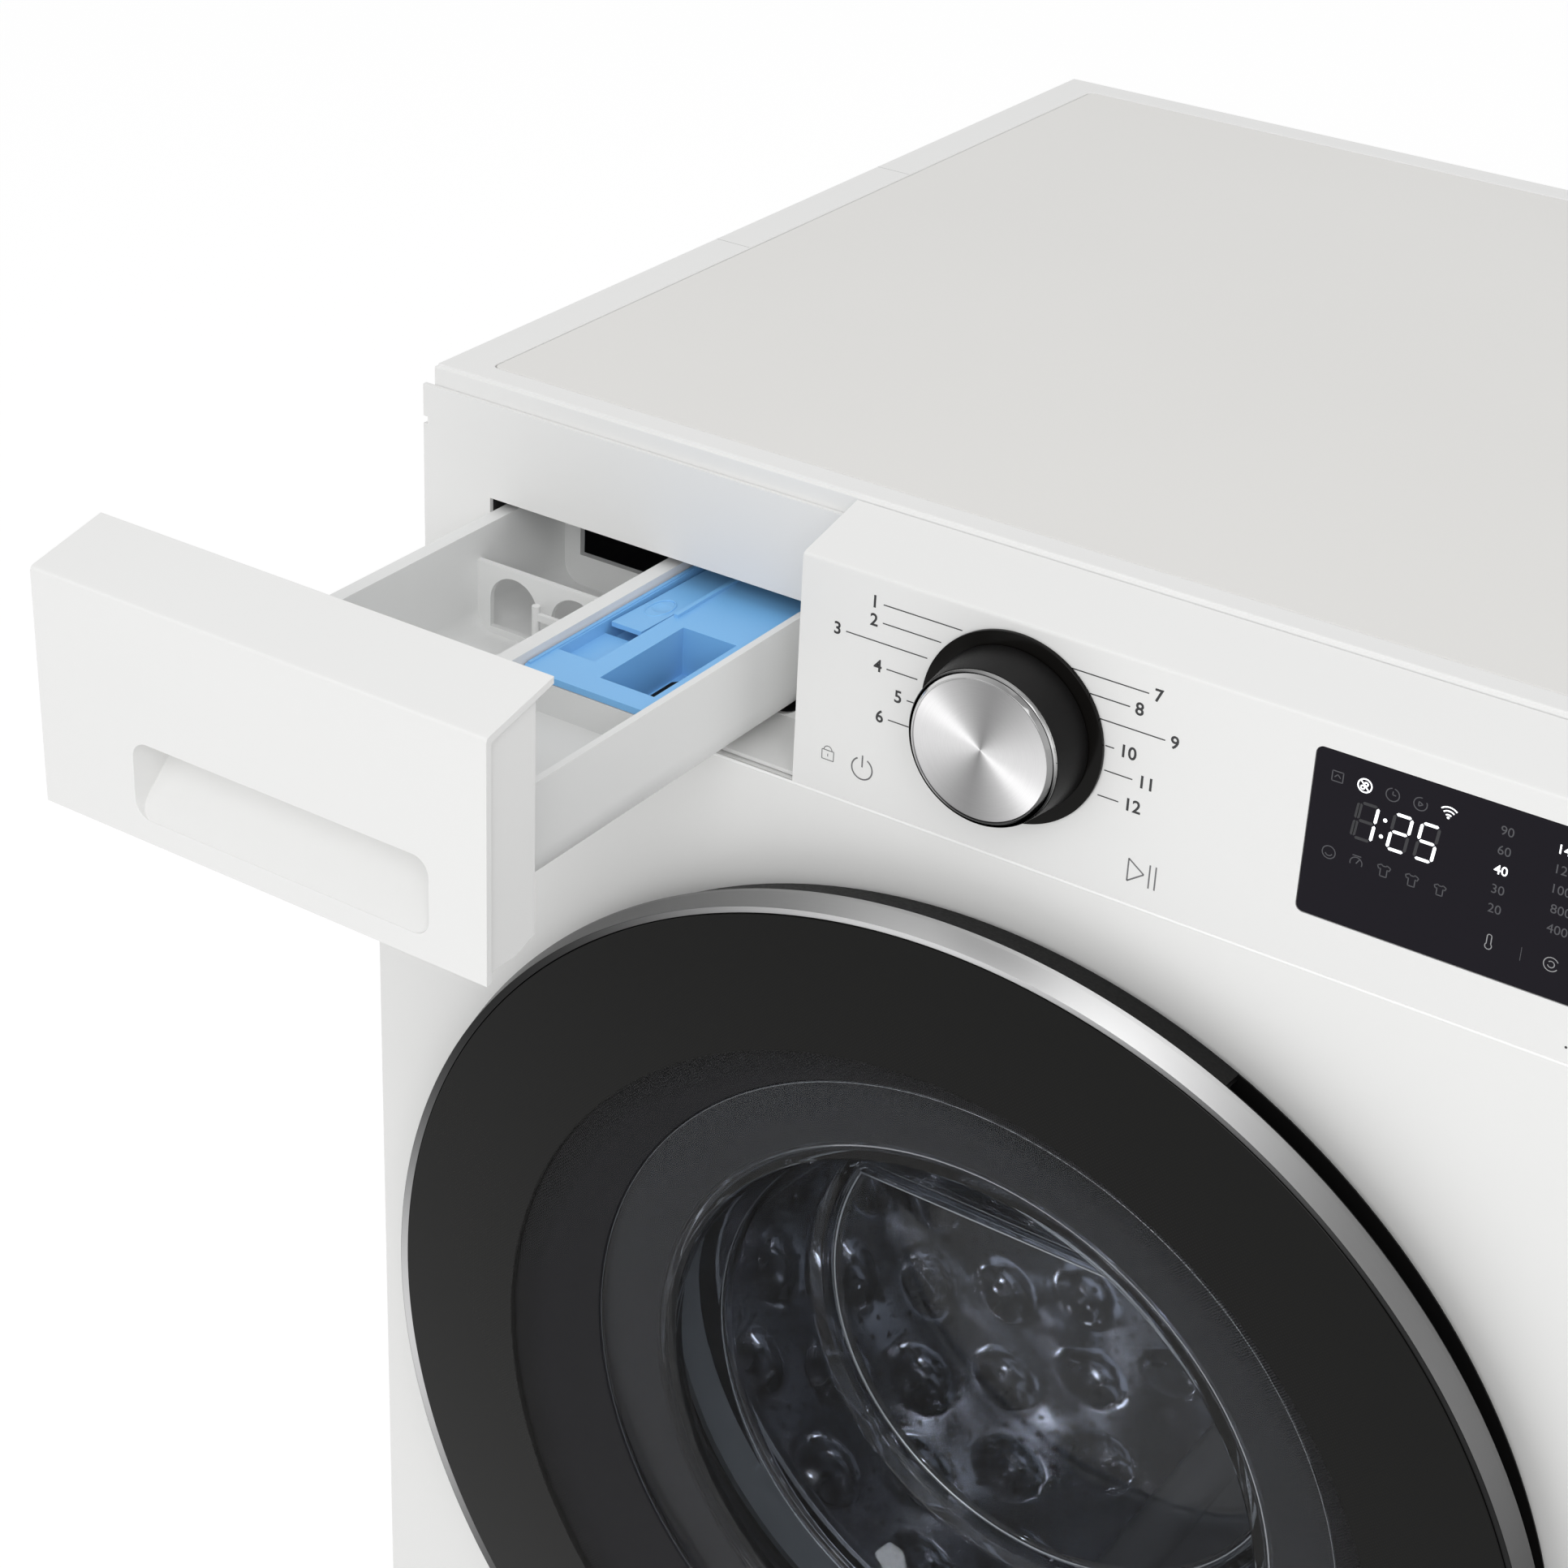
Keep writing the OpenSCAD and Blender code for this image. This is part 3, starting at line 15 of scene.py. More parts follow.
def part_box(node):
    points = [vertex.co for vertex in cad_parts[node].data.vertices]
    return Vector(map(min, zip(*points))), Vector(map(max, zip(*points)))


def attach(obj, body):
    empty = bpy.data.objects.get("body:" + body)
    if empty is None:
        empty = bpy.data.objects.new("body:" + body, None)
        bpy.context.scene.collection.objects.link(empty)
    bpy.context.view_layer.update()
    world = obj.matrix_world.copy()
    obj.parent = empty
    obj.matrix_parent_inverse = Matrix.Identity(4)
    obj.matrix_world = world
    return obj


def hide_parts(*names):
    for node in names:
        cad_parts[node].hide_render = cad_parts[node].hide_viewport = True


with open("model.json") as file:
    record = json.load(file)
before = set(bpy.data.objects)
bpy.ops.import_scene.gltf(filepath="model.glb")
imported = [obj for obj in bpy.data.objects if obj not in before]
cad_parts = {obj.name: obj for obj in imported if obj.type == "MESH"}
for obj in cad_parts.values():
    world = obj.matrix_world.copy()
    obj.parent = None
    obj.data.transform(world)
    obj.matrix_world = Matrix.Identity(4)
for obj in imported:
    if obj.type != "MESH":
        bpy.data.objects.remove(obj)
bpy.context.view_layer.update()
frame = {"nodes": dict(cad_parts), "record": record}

NODES = frame["nodes"]

# %% Datums that other pieces are measured from
MM = 0.001
SLOT = {s["node"]: s["material_slot"] for s in frame["record"]["subparts"]}
BODY = {n: b for b, ns in frame["record"]["behaviour"]["bodies"].items() for n in ns}
panel_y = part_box("front_panel")[0].y               # face of the front panel
drum_lo, drum_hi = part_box("drum_shell")
axis = Vector(((drum_lo.x + drum_hi.x) / 2, 0, (drum_lo.z + drum_hi.z) / 2))
dial_lo, dial_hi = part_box("dial_bezel")
dial = Vector(((dial_lo.x + dial_hi.x) / 2, 0, (dial_lo.z + dial_hi.z) / 2))
ring_lo, ring_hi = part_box("door_ring")
door_y = ring_lo.y                                 # front edge of the door ring
print("panel face", round(panel_y, 4), "drum axis height", round(axis.z, 4))


def radius_of(low, high):
    return (high.x - low.x) / 2


# %% [markdown]
# ## Camera
# The camera stands in front of the door, a little to the right and above the worktop, and looks down at
# the pulled out drawer. The long lens keeps the verticals nearly parallel.

# %% Camera
eye = bpy.data.cameras.new("product_camera")
eye.sensor_width = 36
eye.lens = 72.2136
eye.shift_y = -0.0497
eye.clip_end = 60
camera = bpy.data.objects.new("product_camera", eye)
camera.location = (0.4688, -1.0801, 1.3279)
camera.rotation_euler = [math.radians(a) for a in (62.1084, -2.3898, 33.9509)]
bpy.context.scene.collection.objects.link(camera)
bpy.context.scene.camera = camera
bpy.context.scene.view_settings.view_transform = "Standard"
print("lens", eye.lens)

# %% [markdown]
# ## Node helpers
# A material is a small graph, and most of it repeats. These helpers place a node, wire it and keep the
# graphs short to read.

# %% Node helpers
def node(tree, kind, **values):
    n = tree.nodes.new(kind)
    for k, v in values.items():
        setattr(n, k, v)
    return n


def feed(tree, source, target):
    tree.links.new(source, target)


def calc(tree, op, *values):
    n = node(tree, "ShaderNodeMath", operation=op)
    for socket, v in zip(n.inputs, values):
        if isinstance(v, (int, float)):
            socket.default_value = v
        else:
            feed(tree, v, socket)
    return n.outputs[0]


def ramp(tree, value, low, high, out_low=0.0, out_high=1.0):
    n = node(tree, "ShaderNodeMapRange")
    for i, v in enumerate((low, high, out_low, out_high)):
        n.inputs[i + 1].default_value = v
    feed(tree, value, n.inputs[0])
    return n.outputs[0]


def blend_colour(tree, fac, a, b):
    n = node(tree, "ShaderNodeMix", data_type="RGBA")
    feed(tree, fac, n.inputs[0])
    for socket, colour in ((n.inputs[6], a), (n.inputs[7], b)):
        if isinstance(colour, tuple):
            socket.default_value = (*colour, 1)
        else:
            feed(tree, colour, socket)
    return n.outputs[2]


def object_xyz(tree):
    """The place of the shaded point in the object, as three numbers."""
    xyz = node(tree, "ShaderNodeSeparateXYZ")
    feed(tree, node(tree, "ShaderNodeTexCoord").outputs["Object"], xyz.inputs[0])
    return xyz.outputs


def new_group(name, inputs, outputs):
    g = bpy.data.node_groups.new(name, "ShaderNodeTree")
    for n, kind, value in inputs:
        s = g.interface.new_socket(n, in_out="INPUT", socket_type=kind)
        s.default_value = value
    for n, kind in outputs:
        g.interface.new_socket(n, in_out="OUTPUT", socket_type=kind)
    return g, g.nodes.new("NodeGroupInput"), g.nodes.new("NodeGroupOutput")


F, V = "NodeSocketFloat", "NodeSocketVector"

# %% [markdown]
# ## Shared effects
# Moulded plastic is never quite flat: a fine grain from the mould breaks up the gloss, and a slow
# waviness shifts its shade a little. Both come from one group. Turned metal has a second one, whose
# grooves run in rings about a centre. A third makes the dot print of the door glass.

# %% Grain of moulded plastic and enamel
grain, group_in, group_out = new_group("surface_grain", [("Size", F, 900.0), ("Slow", F, 6.0)],
                                       [("Grain", F), ("Cloud", F)])
where = node(grain, "ShaderNodeTexCoord")
noise = []
for scale, detail in (("Size", 2), ("Slow", 3)):
    n = node(grain, "ShaderNodeTexNoise")
    n.inputs["Detail"].default_value = detail
    feed(grain, where.outputs["Object"], n.inputs["Vector"])
    feed(grain, group_in.outputs[scale], n.inputs["Scale"])
    noise.append(n.outputs[0])
feed(grain, noise[0], group_out.inputs["Grain"])
feed(grain, ramp(grain, noise[1], 0.3, 0.7), group_out.inputs["Cloud"])

# %% Rings of turned and brushed metal
rings, group_in, group_out = new_group("turned_rings", [("Centre", V, (0, 0, 0)), ("Pitch", F, 3000.0)],
                                       [("Groove", F), ("Radius", F), ("Angle", F)])
where = node(rings, "ShaderNodeTexCoord")
rel = node(rings, "ShaderNodeVectorMath", operation="SUBTRACT")
feed(rings, where.outputs["Object"], rel.inputs[0])
feed(rings, group_in.outputs["Centre"], rel.inputs[1])
xyz = node(rings, "ShaderNodeSeparateXYZ")
feed(rings, rel.outputs[0], xyz.inputs[0])
square = calc(rings, "ADD", calc(rings, "MULTIPLY", xyz.outputs[0], xyz.outputs[0]),
              calc(rings, "MULTIPLY", xyz.outputs[2], xyz.outputs[2]))
radius = calc(rings, "SQRT", square)
around = calc(rings, "ARCTAN2", xyz.outputs[2], xyz.outputs[0])
line = node(rings, "ShaderNodeCombineXYZ")
feed(rings, calc(rings, "MULTIPLY", radius, group_in.outputs["Pitch"]), line.inputs[0])
feed(rings, calc(rings, "MULTIPLY", around, 2.0), line.inputs[1])
feed(rings, calc(rings, "MULTIPLY", xyz.outputs[1], group_in.outputs["Pitch"]), line.inputs[2])
scratch = node(rings, "ShaderNodeTexNoise")
scratch.inputs["Scale"].default_value = 1.0
scratch.inputs["Detail"].default_value = 3
feed(rings, line.outputs[0], scratch.inputs["Vector"])
for source, target in ((scratch.outputs[0], "Groove"), (radius, "Radius"), (around, "Angle")):
    feed(rings, source, group_out.inputs[target])

# %% Fine dots, in rows at 45 degrees
dots, group_in, group_out = new_group("fine_dots", [("Pitch", F, 0.0011), ("Size", F, 0.3)], [("Dots", F)])
x, _, z = object_xyz(dots)
cells = []
for op in ("ADD", "SUBTRACT"):
    step = calc(dots, "DIVIDE", calc(dots, op, x, z), group_in.outputs["Pitch"])
    away = calc(dots, "SUBTRACT", calc(dots, "FRACT", step), 0.5)
    cells.append(calc(dots, "MULTIPLY", away, away))
gap = calc(dots, "SQRT", calc(dots, "ADD", *cells))
feed(dots, calc(dots, "LESS_THAN", gap, group_in.outputs["Size"]), group_out.inputs["Dots"])
print("groups", [g.name for g in bpy.data.node_groups])

# %% [markdown]
# ## Finishes
# Each finish of the record gets one material. Plastics and enamels differ in colour, gloss and the
# size of their grain, so one function makes them all. Enamel is smooth and a little wavy, the worktop
# laminate is matt, and rubber is rough.

# %% Plastic, enamel, rubber and cast finishes
def new_material(name, preview):
    m = bpy.data.materials.new(name)
    m.use_nodes = True
    m.diffuse_color = preview
    return m, m.node_tree, m.node_tree.nodes["Principled BSDF"]


def effect(t, group, **inputs):
    g = node(t, "ShaderNodeGroup", node_tree=group)
    for key, value in inputs.items():
        g.inputs[key].default_value = value
    return g.outputs


def set_inputs(p, **inputs):
    """Fixed inputs of the shader, with _ for a space in their names."""
    for key, value in inputs.items():
        p.inputs[key.replace("_", " ")].default_value = value


def roughen(t, p, height, strength, distance):
    b = node(t, "ShaderNodeBump")
    b.inputs["Strength"].default_value = strength
    b.inputs["Distance"].default_value = distance
    feed(t, height, b.inputs["Height"])
    feed(t, b.outputs[0], p.inputs["Normal"])


def finish(name, colour, rough, size, bump, tone=0.02, metallic=0.0, level=0.5):
    m, t, p = new_material(name, (*colour, 1))
    g = effect(t, grain, Size=size)
    dark = tuple(c * (1 - tone) for c in colour)
    feed(t, blend_colour(t, g["Cloud"], dark, tuple(colour)), p.inputs["Base Color"])
    feed(t, ramp(t, g["Grain"], 0.3, 0.7, rough * 0.9, min(1, rough * 1.1)), p.inputs["Roughness"])
    roughen(t, p, g["Grain"], bump, 0.0004)
    set_inputs(p, Metallic=metallic, Specular_IOR_Level=level)
    return m


FINISH = {
    "white_steel": finish("white_steel", (0.87, 0.87, 0.86), 0.38, 400, 0.02, level=0.4),
    "white_plastic": finish("white_plastic", (0.855, 0.855, 0.847), 0.42, 1300, 0.03, 0.012, level=0.32),
    "worktop": finish("worktop", (0.80, 0.792, 0.772), 0.55, 1500, 0.06, 0.012),
    "zinc_steel": finish("zinc_steel", (0.55, 0.56, 0.58), 0.38, 120, 0.08, 0.18, 0.9),
    "black_gloss": finish("black_gloss", (0.006, 0.0055, 0.005), 0.14, 700, 0.01, 0.1, level=0.10),
    "black_satin": finish("black_satin", (0.007, 0.0067, 0.0067), 0.42, 1400, 0.04, 0.15, level=0.13),
    "dark_plastic": finish("dark_plastic", (0.030, 0.030, 0.032), 0.42, 1300, 0.10, 0.2),
    "inner_plastic": finish("inner_plastic", (0.62, 0.64, 0.65), 0.5, 800, 0.14, 0.05),
    "tray_plastic": finish("tray_plastic", (0.83, 0.835, 0.83), 0.36, 1100, 0.03, 0.02),
    "cap_plastic": finish("cap_plastic", (0.225, 0.55, 0.96), 0.36, 1100, 0.04, 0.04),
    "knob_plastic": finish("knob_plastic", (0.08, 0.20, 0.42), 0.4, 1100, 0.08, 0.06),
    "grey_rubber": finish("grey_rubber", (0.075, 0.080, 0.088), 0.5, 1600, 0.25, 0.12),
    "black_rubber": finish("black_rubber", (0.02, 0.02, 0.021), 0.65, 1500, 0.3, 0.15),
    "iron": finish("iron", (0.30, 0.30, 0.29), 0.7, 300, 0.6, 0.15),
    "aluminium": finish("aluminium", (0.52, 0.53, 0.55), 0.42, 420, 0.3, 0.1, 0.95),
    "winding": finish("winding", (0.42, 0.16, 0.07), 0.35, 900, 0.4, 0.3, 0.4),
    "board": finish("board", (0.02, 0.13, 0.06), 0.45, 700, 0.1, 0.15),
}

# The blue of the cap is for the eye only: the light it sends on to the white fascia is paler.
t = FINISH["cap_plastic"].node_tree
base = t.nodes["Principled BSDF"].inputs["Base Color"]
eye_ray = node(t, "ShaderNodeLightPath").outputs["Is Camera Ray"]
feed(t, blend_colour(t, eye_ray, (0.40, 0.56, 0.80), base.links[0].from_socket), base)
print("finishes", len(FINISH))

# %% [markdown]
# Spun and brushed metal stretches each highlight across its grooves. On a flat face with rings that
# makes two cones of light which start at the centre. Here those cones are painted highlights: the lobes in
# `painted_cones` make the colour brighter or darker by the angle round the centre.

# %% Turned metal
def painted_lobes(t, around, base, parts):
    """Painted highlight round a centre: a base brightness and lobes of (degrees, sharpness, strength, turns).
    """
    total = None
    for degrees, sharp, strength, turns in parts:
        c = calc(t, "COSINE", calc(t, "MULTIPLY", calc(t, "SUBTRACT", around, math.radians(degrees)), turns))
        f = calc(t, "POWER", calc(t, "MAXIMUM", calc(t, "MULTIPLY_ADD", c, 0.5, 0.5), 0.0), sharp)
        f = calc(t, "MULTIPLY", f, strength)
        total = calc(t, "ADD", f, base if total is None else total)
    return total


def turned_metal(name, colour, rough, centre, pitch, tone, bump, painted_cones=None, base=0.3, spread=0.15):
    m, t, p = new_material(name, (*colour, 1))
    g = effect(t, rings, Centre=tuple(centre), Pitch=pitch)
    dark = tuple(c * (1 - tone) for c in colour)
    feed(t, blend_colour(t, g["Groove"], dark, tuple(colour)), p.inputs["Base Color"])
    feed(t, ramp(t, g["Groove"], 0.3, 0.7, rough * (1 - spread), rough * (1 + spread)), p.inputs["Roughness"])
    roughen(t, p, g["Groove"], bump, 0.0002)
    set_inputs(p, Metallic=1.0)
    # Painted highlights: the lobes scale the base colour, brighter where the cones of light would fall.
    if painted_cones:
        painted_shine, grooved = (node(t, "ShaderNodeVectorMath", operation="SCALE") for _ in range(2))
        painted_shine.inputs[0].default_value = colour
        feed(t, painted_lobes(t, g["Angle"], base, painted_cones), painted_shine.inputs["Scale"])
        feed(t, painted_shine.outputs[0], grooved.inputs[0])
        feed(t, ramp(t, g["Groove"], 0.3, 0.7, 1 - tone, 1.0), grooved.inputs["Scale"])
        feed(t, grooved.outputs[0], p.inputs["Base Color"])
    return m


# Painted highlights of each turned finish, as lobes of (degrees, sharpness, strength, turns).
CAP_PAINTED_LIGHT = ((172, 0.8, 0.48, 2), (150, 14, 0.30, 2))
TRIM_PAINTED_LIGHT = ((150, 3, 0.65, 1), (20, 8, 0.25, 1))
SIDE_PAINTED_LIGHT = ((75, 10, 0.30, 1), (20, 30, 0.6, 1))
SLOPE_PAINTED_LIGHT = ((74, 60, 0.58, 1), (93, 16, 0.42, 1), (184, 60, 0.50, 1), (154, 40, 0.16, 1),
               (38, 30, 0.16, 1))
LIP_PAINTED_LIGHT = ((92, 26, 0.70, 1), (188, 30, 0.62, 1))
SILVER = (0.985, 0.985, 0.99)
FINISH["spun_metal"] = turned_metal("spun_metal", (1.0, 0.995, 1.0), 0.34, dial, 5200, 0.07, 0.01,
                                    CAP_PAINTED_LIGHT, 0.29)
FINISH["stainless"] = turned_metal("stainless", (0.46, 0.475, 0.50), 0.22, axis, 1500, 0.05, 0.0)
FINISH["silver_trim"] = turned_metal("silver_trim", SILVER, 0.50, axis, 2400, 0.0, 0.0, SLOPE_PAINTED_LIGHT,
                                     0.03, 0.03)
ring_lip = turned_metal("ring_lip", SILVER, 0.45, axis, 2400, 0.0, 0.0, LIP_PAINTED_LIGHT, 0.015, 0.03)
dial_trim = turned_metal("dial_trim", (1, 1, 1), 0.10, dial, 900, 0.02, 0.0, TRIM_PAINTED_LIGHT, 0.06)
dial_side = turned_metal("dial_side", (1, 1, 1), 0.08, dial, 900, 0.02, 0.0, SIDE_PAINTED_LIGHT, 0.02)

# %% [markdown]
# The door is covered by a tinted pane. A print of fine dots on its back makes the band round the
# window opaque, and inside the band the tint lets the drum show through. One mask by radius drives the
# colour and the alpha. The pressed bowl is real glass that bends what lies behind it, a little wavy.

# %% Door pane and glass bowl
WINDOW_EDGE = (0.2015, 0.2025)          # radii between which the pane turns opaque
DOT_FADE = (0.186, 0.204)               # the dots of the window's rim grow dense between these
MESH_FADE = (0.19, 0.245)               # the dots of the opaque band fade out between these
TINT = 0.24                             # how much of the view the clear part of the pane stops


def door_pane():
    m, t, p = new_material("smoked_cover", (0.03, 0.03, 0.03, 0.6))
    from_centre = effect(t, rings, Centre=tuple(axis))["Radius"]
    dot = effect(t, dots, Pitch=0.0016)["Dots"]
    band = ramp(t, from_centre, *WINDOW_EDGE)
    fade = ramp(t, from_centre, *DOT_FADE)
    printed = calc(t, "MAXIMUM", band, calc(t, "MULTIPLY", fade, dot))
    mesh_print = calc(t, "MULTIPLY", dot, ramp(t, from_centre, *MESH_FADE, 1.0, 0.25))
    ink_colour = blend_colour(t, mesh_print, (0.007, 0.007, 0.0066), (0.011, 0.0107, 0.0102))
    feed(t, ink_colour, p.inputs["Base Color"])
    feed(t, ramp(t, printed, 0, 1, TINT, 1.0), p.inputs["Alpha"])
    set_inputs(p, Roughness=0.12, Specular_IOR_Level=0.11)
    return m


def bowl_glass():
    m, t, p = new_material("bowl_glass", (0.7, 0.8, 0.85, 0.3))
    g = effect(t, grain, Size=22)
    feed(t, blend_colour(t, g["Cloud"], (0.72, 0.76, 0.83), (0.80, 0.84, 0.90)), p.inputs["Base Color"])
    roughen(t, p, g["Grain"], 0.25, 0.001)
    set_inputs(p, Transmission_Weight=1.0, Roughness=0.02, IOR=1.47, Specular_IOR_Level=0.2)
    return m


FINISH["smoked_cover"] = door_pane()
FINISH["bowl_glass"] = bowl_glass()
FINISH["display_glass"] = finish("display_glass", (0.011, 0.0095, 0.014), 0.10, 900, 0.0, 0.08, level=0.08)
for name, obj in NODES.items():
    obj.data.materials.clear()
    obj.data.materials.append(FINISH[SLOT[name]])
print("slots given", len(SLOT))

# %% [markdown]
# ## Shape helpers
# Moulded edges are round, and the thin line of light that runs along them is most of what makes white
# plastic look real. `soften` copies a CAD mesh, merges its flat faces again, bevels its edges and keeps
# the large faces flat with weighted normals. The CAD node is then replaced by the copy.

# %% Softened copies of CAD pieces
WELD = 1e-6


def smooth_by(me, degrees):
    bm = bmesh.new()
    bm.from_mesh(me)
    for f in bm.faces:
        f.smooth = True
    for e in bm.edges:
        e.smooth = len(e.link_faces) == 2 and e.calc_face_angle(0) < math.radians(degrees)
    bm.to_mesh(me)
    bm.free()


def mesh_of(bm, name, sharp=None, outward=False):
    """Closes the working mesh into a new one; edges bent by more than sharp degrees stay sharp."""
    if outward:
        bmesh.ops.recalc_face_normals(bm, faces=bm.faces)
    me = bpy.data.meshes.new(name)
    bm.to_mesh(me)
    bm.free()
    if sharp:
        smooth_by(me, sharp)
    return me


def place(name, me, body, slot_name, material=None, stands_for=()):
    """Adds a mesh to a body; without a material of its own it gets the one of its slot."""
    obj = bpy.data.objects.new(name, me)
    bpy.context.scene.collection.objects.link(obj)
    me.materials.clear()
    me.materials.append(material or FINISH[slot_name])
    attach(obj, body)
    if stands_for:
        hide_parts(*stands_for)
    return obj


def soften(name, width, segments=2, material=None):
    """Replaces a CAD node by a copy whose edges are rounded; width in millimetres."""
    me = NODES[name].data.copy()
    me.name = name + "_soft"
    bm = bmesh.new()
    bm.from_mesh(me)
    bmesh.ops.remove_doubles(bm, verts=bm.verts, dist=WELD)
    bmesh.ops.dissolve_limit(bm, angle_limit=math.radians(0.6), verts=bm.verts, edges=bm.edges)
    bm.to_mesh(me)
    bm.free()
    smooth_by(me, 24)
    obj = place(name + "_soft", me, BODY[name], SLOT[name], material, (name,))
    b = obj.modifiers.new("soft_edge", "BEVEL")
    b.width = width * MM
    b.segments = segments
    b.limit_method = "ANGLE"
    b.angle_limit = math.radians(38)
    b.use_clamp_overlap = True
    w = obj.modifiers.new("flat_faces", "WEIGHTED_NORMAL")
    w.keep_sharp = True
    w.weight = 80


for name, width in (("control_panel", 0.9), ("drawer_front", 0.9), ("top_rim", 1.4), ("top_panel", 0.5),
                    ("front_panel", 0.8), ("kick_panel", 0.8), ("filter_flap", 0.5), ("drawer_tray", 0.7),
                    ("softener_cap", 0.5), ("push_tab", 0.5), ("side_walls", 0.5), ("rear_cover", 0.4),
                    ("lifters", 1.0), ("feet", 0.8), ("filter_knob", 0.8)):
    soften(name, width)
print("softened pieces placed")

# %% [markdown]
# Round pieces are turned like on a lathe: a profile of radius and depth goes round an axis. `lathe`
# does this for the dial, the door ring, the pane and the screw heads, fine enough that no facet shows.

# %% Lathe
def spin(bm, profile, centre, turns, closed):
    """Turns a profile of (radius, y) about the line along Y through centre."""
    rows = []
    for r, y in profile:
        if r < 1e-7:
            rows.append([bm.verts.new((centre.x, y, centre.z))])
        else:
            rows.append([bm.verts.new((centre.x + r * math.cos(a), y, centre.z + r * math.sin(a)))
                         for a in (2 * math.pi * i / turns for i in range(turns))])
    pairs = list(zip(rows, rows[1:])) + ([(rows[-1], rows[0])] if closed and len(rows) > 2 else [])
    for a, b in pairs:
        for i in range(turns):
            j = (i + 1) % turns
            ring = [a[i % len(a)], a[j % len(a)], b[j % len(b)], b[i % len(b)]]
            corners = list(dict.fromkeys(ring))
            if len(corners) > 2:
                bm.faces.new(corners)


def lathe(name, profile, centre, body, slot_name, material=None, stands_for=(), turns=192, sharp=30):
    bm = bmesh.new()
    spin(bm, profile, centre, turns, True)
    place(name, mesh_of(bm, name, sharp, True), body, slot_name, material, stands_for)


def round_profile(points, r, steps=3):
    """Rounds the corners of a closed profile by the radius r."""
    out = []
    n = len(points)
    for i, p in enumerate(points):
        a, b, c = (Vector((*points[(i + k) % n], 0)) for k in (-1, 0, 1))
        u, v = a - b, c - b
        cut = min(r, u.length * 0.4, v.length * 0.4)
        if p[0] < 1e-7 or cut < 1e-6:
            out.append(p)
            continue
        s, e = b + u.normalized() * cut, b + v.normalized() * cut
        for k in range(steps + 1):
            f = k / steps
            q = s * (1 - f) ** 2 + b * 2 * f * (1 - f) + e * f * f
            out.append((q.x, q.y))
    return out


cap_lo, cap_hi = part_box("dial_cap")
trim_lo, trim_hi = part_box("dial_chrome")
skirt_lo, skirt_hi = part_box("dial_skirt")
cap_r = radius_of(cap_lo, cap_hi)
trim_r = radius_of(trim_lo, trim_hi)
bezel_r = radius_of(dial_lo, dial_hi)
skirt_r = radius_of(skirt_lo, skirt_hi)
skirt_front = trim_hi.y + 0.05 * MM
plate_y = dial_lo.y - 0.5 * MM                     # back of the skirt's wide part, clear of the bezel
bezel = [(7.5 * MM, dial_hi.y), (bezel_r, dial_hi.y), (bezel_r, dial_lo.y), (7.5 * MM, dial_lo.y)]
lathe("dial_bezel_turned", round_profile(bezel, 0.35 * MM), dial, "machine", "black_gloss",
      stands_for=("dial_bezel",))
dished = [(0, trim_hi.y), (cap_r, trim_hi.y), (cap_r, cap_lo.y + 0.15 * MM), (cap_r - 0.3 * MM, cap_lo.y),
          (cap_r * 0.5, cap_lo.y + 0.35 * MM), (0, cap_lo.y + 0.7 * MM)]
lathe("dial_cap_spun", dished, dial, "dial", "spun_metal", stands_for=("dial_cap",), sharp=12)
edge = [(cap_r + 0.05 * MM, trim_hi.y), (trim_r - 0.6 * MM, trim_hi.y),
        (trim_r - 0.6 * MM, trim_lo.y + 2.2 * MM), (cap_r + 0.5 * MM, trim_lo.y),
        (cap_r + 0.05 * MM, trim_lo.y)]
lathe("dial_trim_turned", round_profile(edge, 0.2 * MM), dial, "dial", "silver_trim", dial_trim,
      ("dial_chrome",))
band = [(trim_r - 0.5 * MM, trim_hi.y), (trim_r, trim_hi.y), (trim_r, trim_lo.y + 2.0 * MM),
        (trim_r - 0.5 * MM, trim_lo.y + 1.4 * MM)]
lathe("dial_trim_side", round_profile(band, 0.1 * MM), dial, "dial", "silver_trim", dial_side)
skirt = [(0, skirt_hi.y), (3 * MM, skirt_hi.y), (3 * MM, plate_y), (skirt_r, plate_y),
         (skirt_r, plate_y - 0.9 * MM), (trim_r + 0.2 * MM, skirt_front), (0, skirt_front)]
lathe("dial_skirt_turned", round_profile(skirt, 0.35 * MM), dial, "dial", "black_satin",
      stands_for=("dial_skirt",))
print("dial cap radius", round(cap_r, 4))

# %% [markdown]
# ## Door
# The ring has three faces: a narrow light one beside the pane, a thin ridge, and a wide brushed slope.
# The pane lies inside it with a fine black joint. The frame behind goes in like a funnel, to the bowl.

# %% Ring, pane and frame
ring_r = radius_of(ring_lo, ring_hi)
pane_lo, pane_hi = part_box("door_cover")
pane_r = radius_of(pane_lo, pane_hi)
ridge_r = pane_r + 3.3 * MM
# The light and dark bands round the slope and the lip are painted highlights from their finishes.
slope = [(ridge_r, ring_hi.y), (ridge_r, door_y), (ring_r, door_y + 9.2 * MM), (ring_r, ring_hi.y)]
lathe("door_ring_slope", round_profile(slope, 0.2 * MM, 2), axis, "door", "silver_trim",
      stands_for=("door_ring",), turns=360, sharp=12)
lip = [(pane_r + 0.3 * MM, ring_hi.y), (pane_r + 0.3 * MM, door_y + 1.0 * MM),
       (ridge_r - 0.3 * MM, door_y + 0.1 * MM), (ridge_r - 0.05 * MM, door_y + 0.1 * MM),
       (ridge_r - 0.05 * MM, ring_hi.y)]
lathe("door_ring_lip", round_profile(lip, 0.1 * MM, 2), axis, "door", "silver_trim", ring_lip,
      turns=360, sharp=12)
pane = [(0, pane_lo.y), (pane_r, pane_lo.y), (pane_r, pane_hi.y), (0, pane_hi.y)]
lathe("door_pane", round_profile(pane, 0.6 * MM), axis, "door", "smoked_cover",
      stands_for=("door_cover",), turns=360)


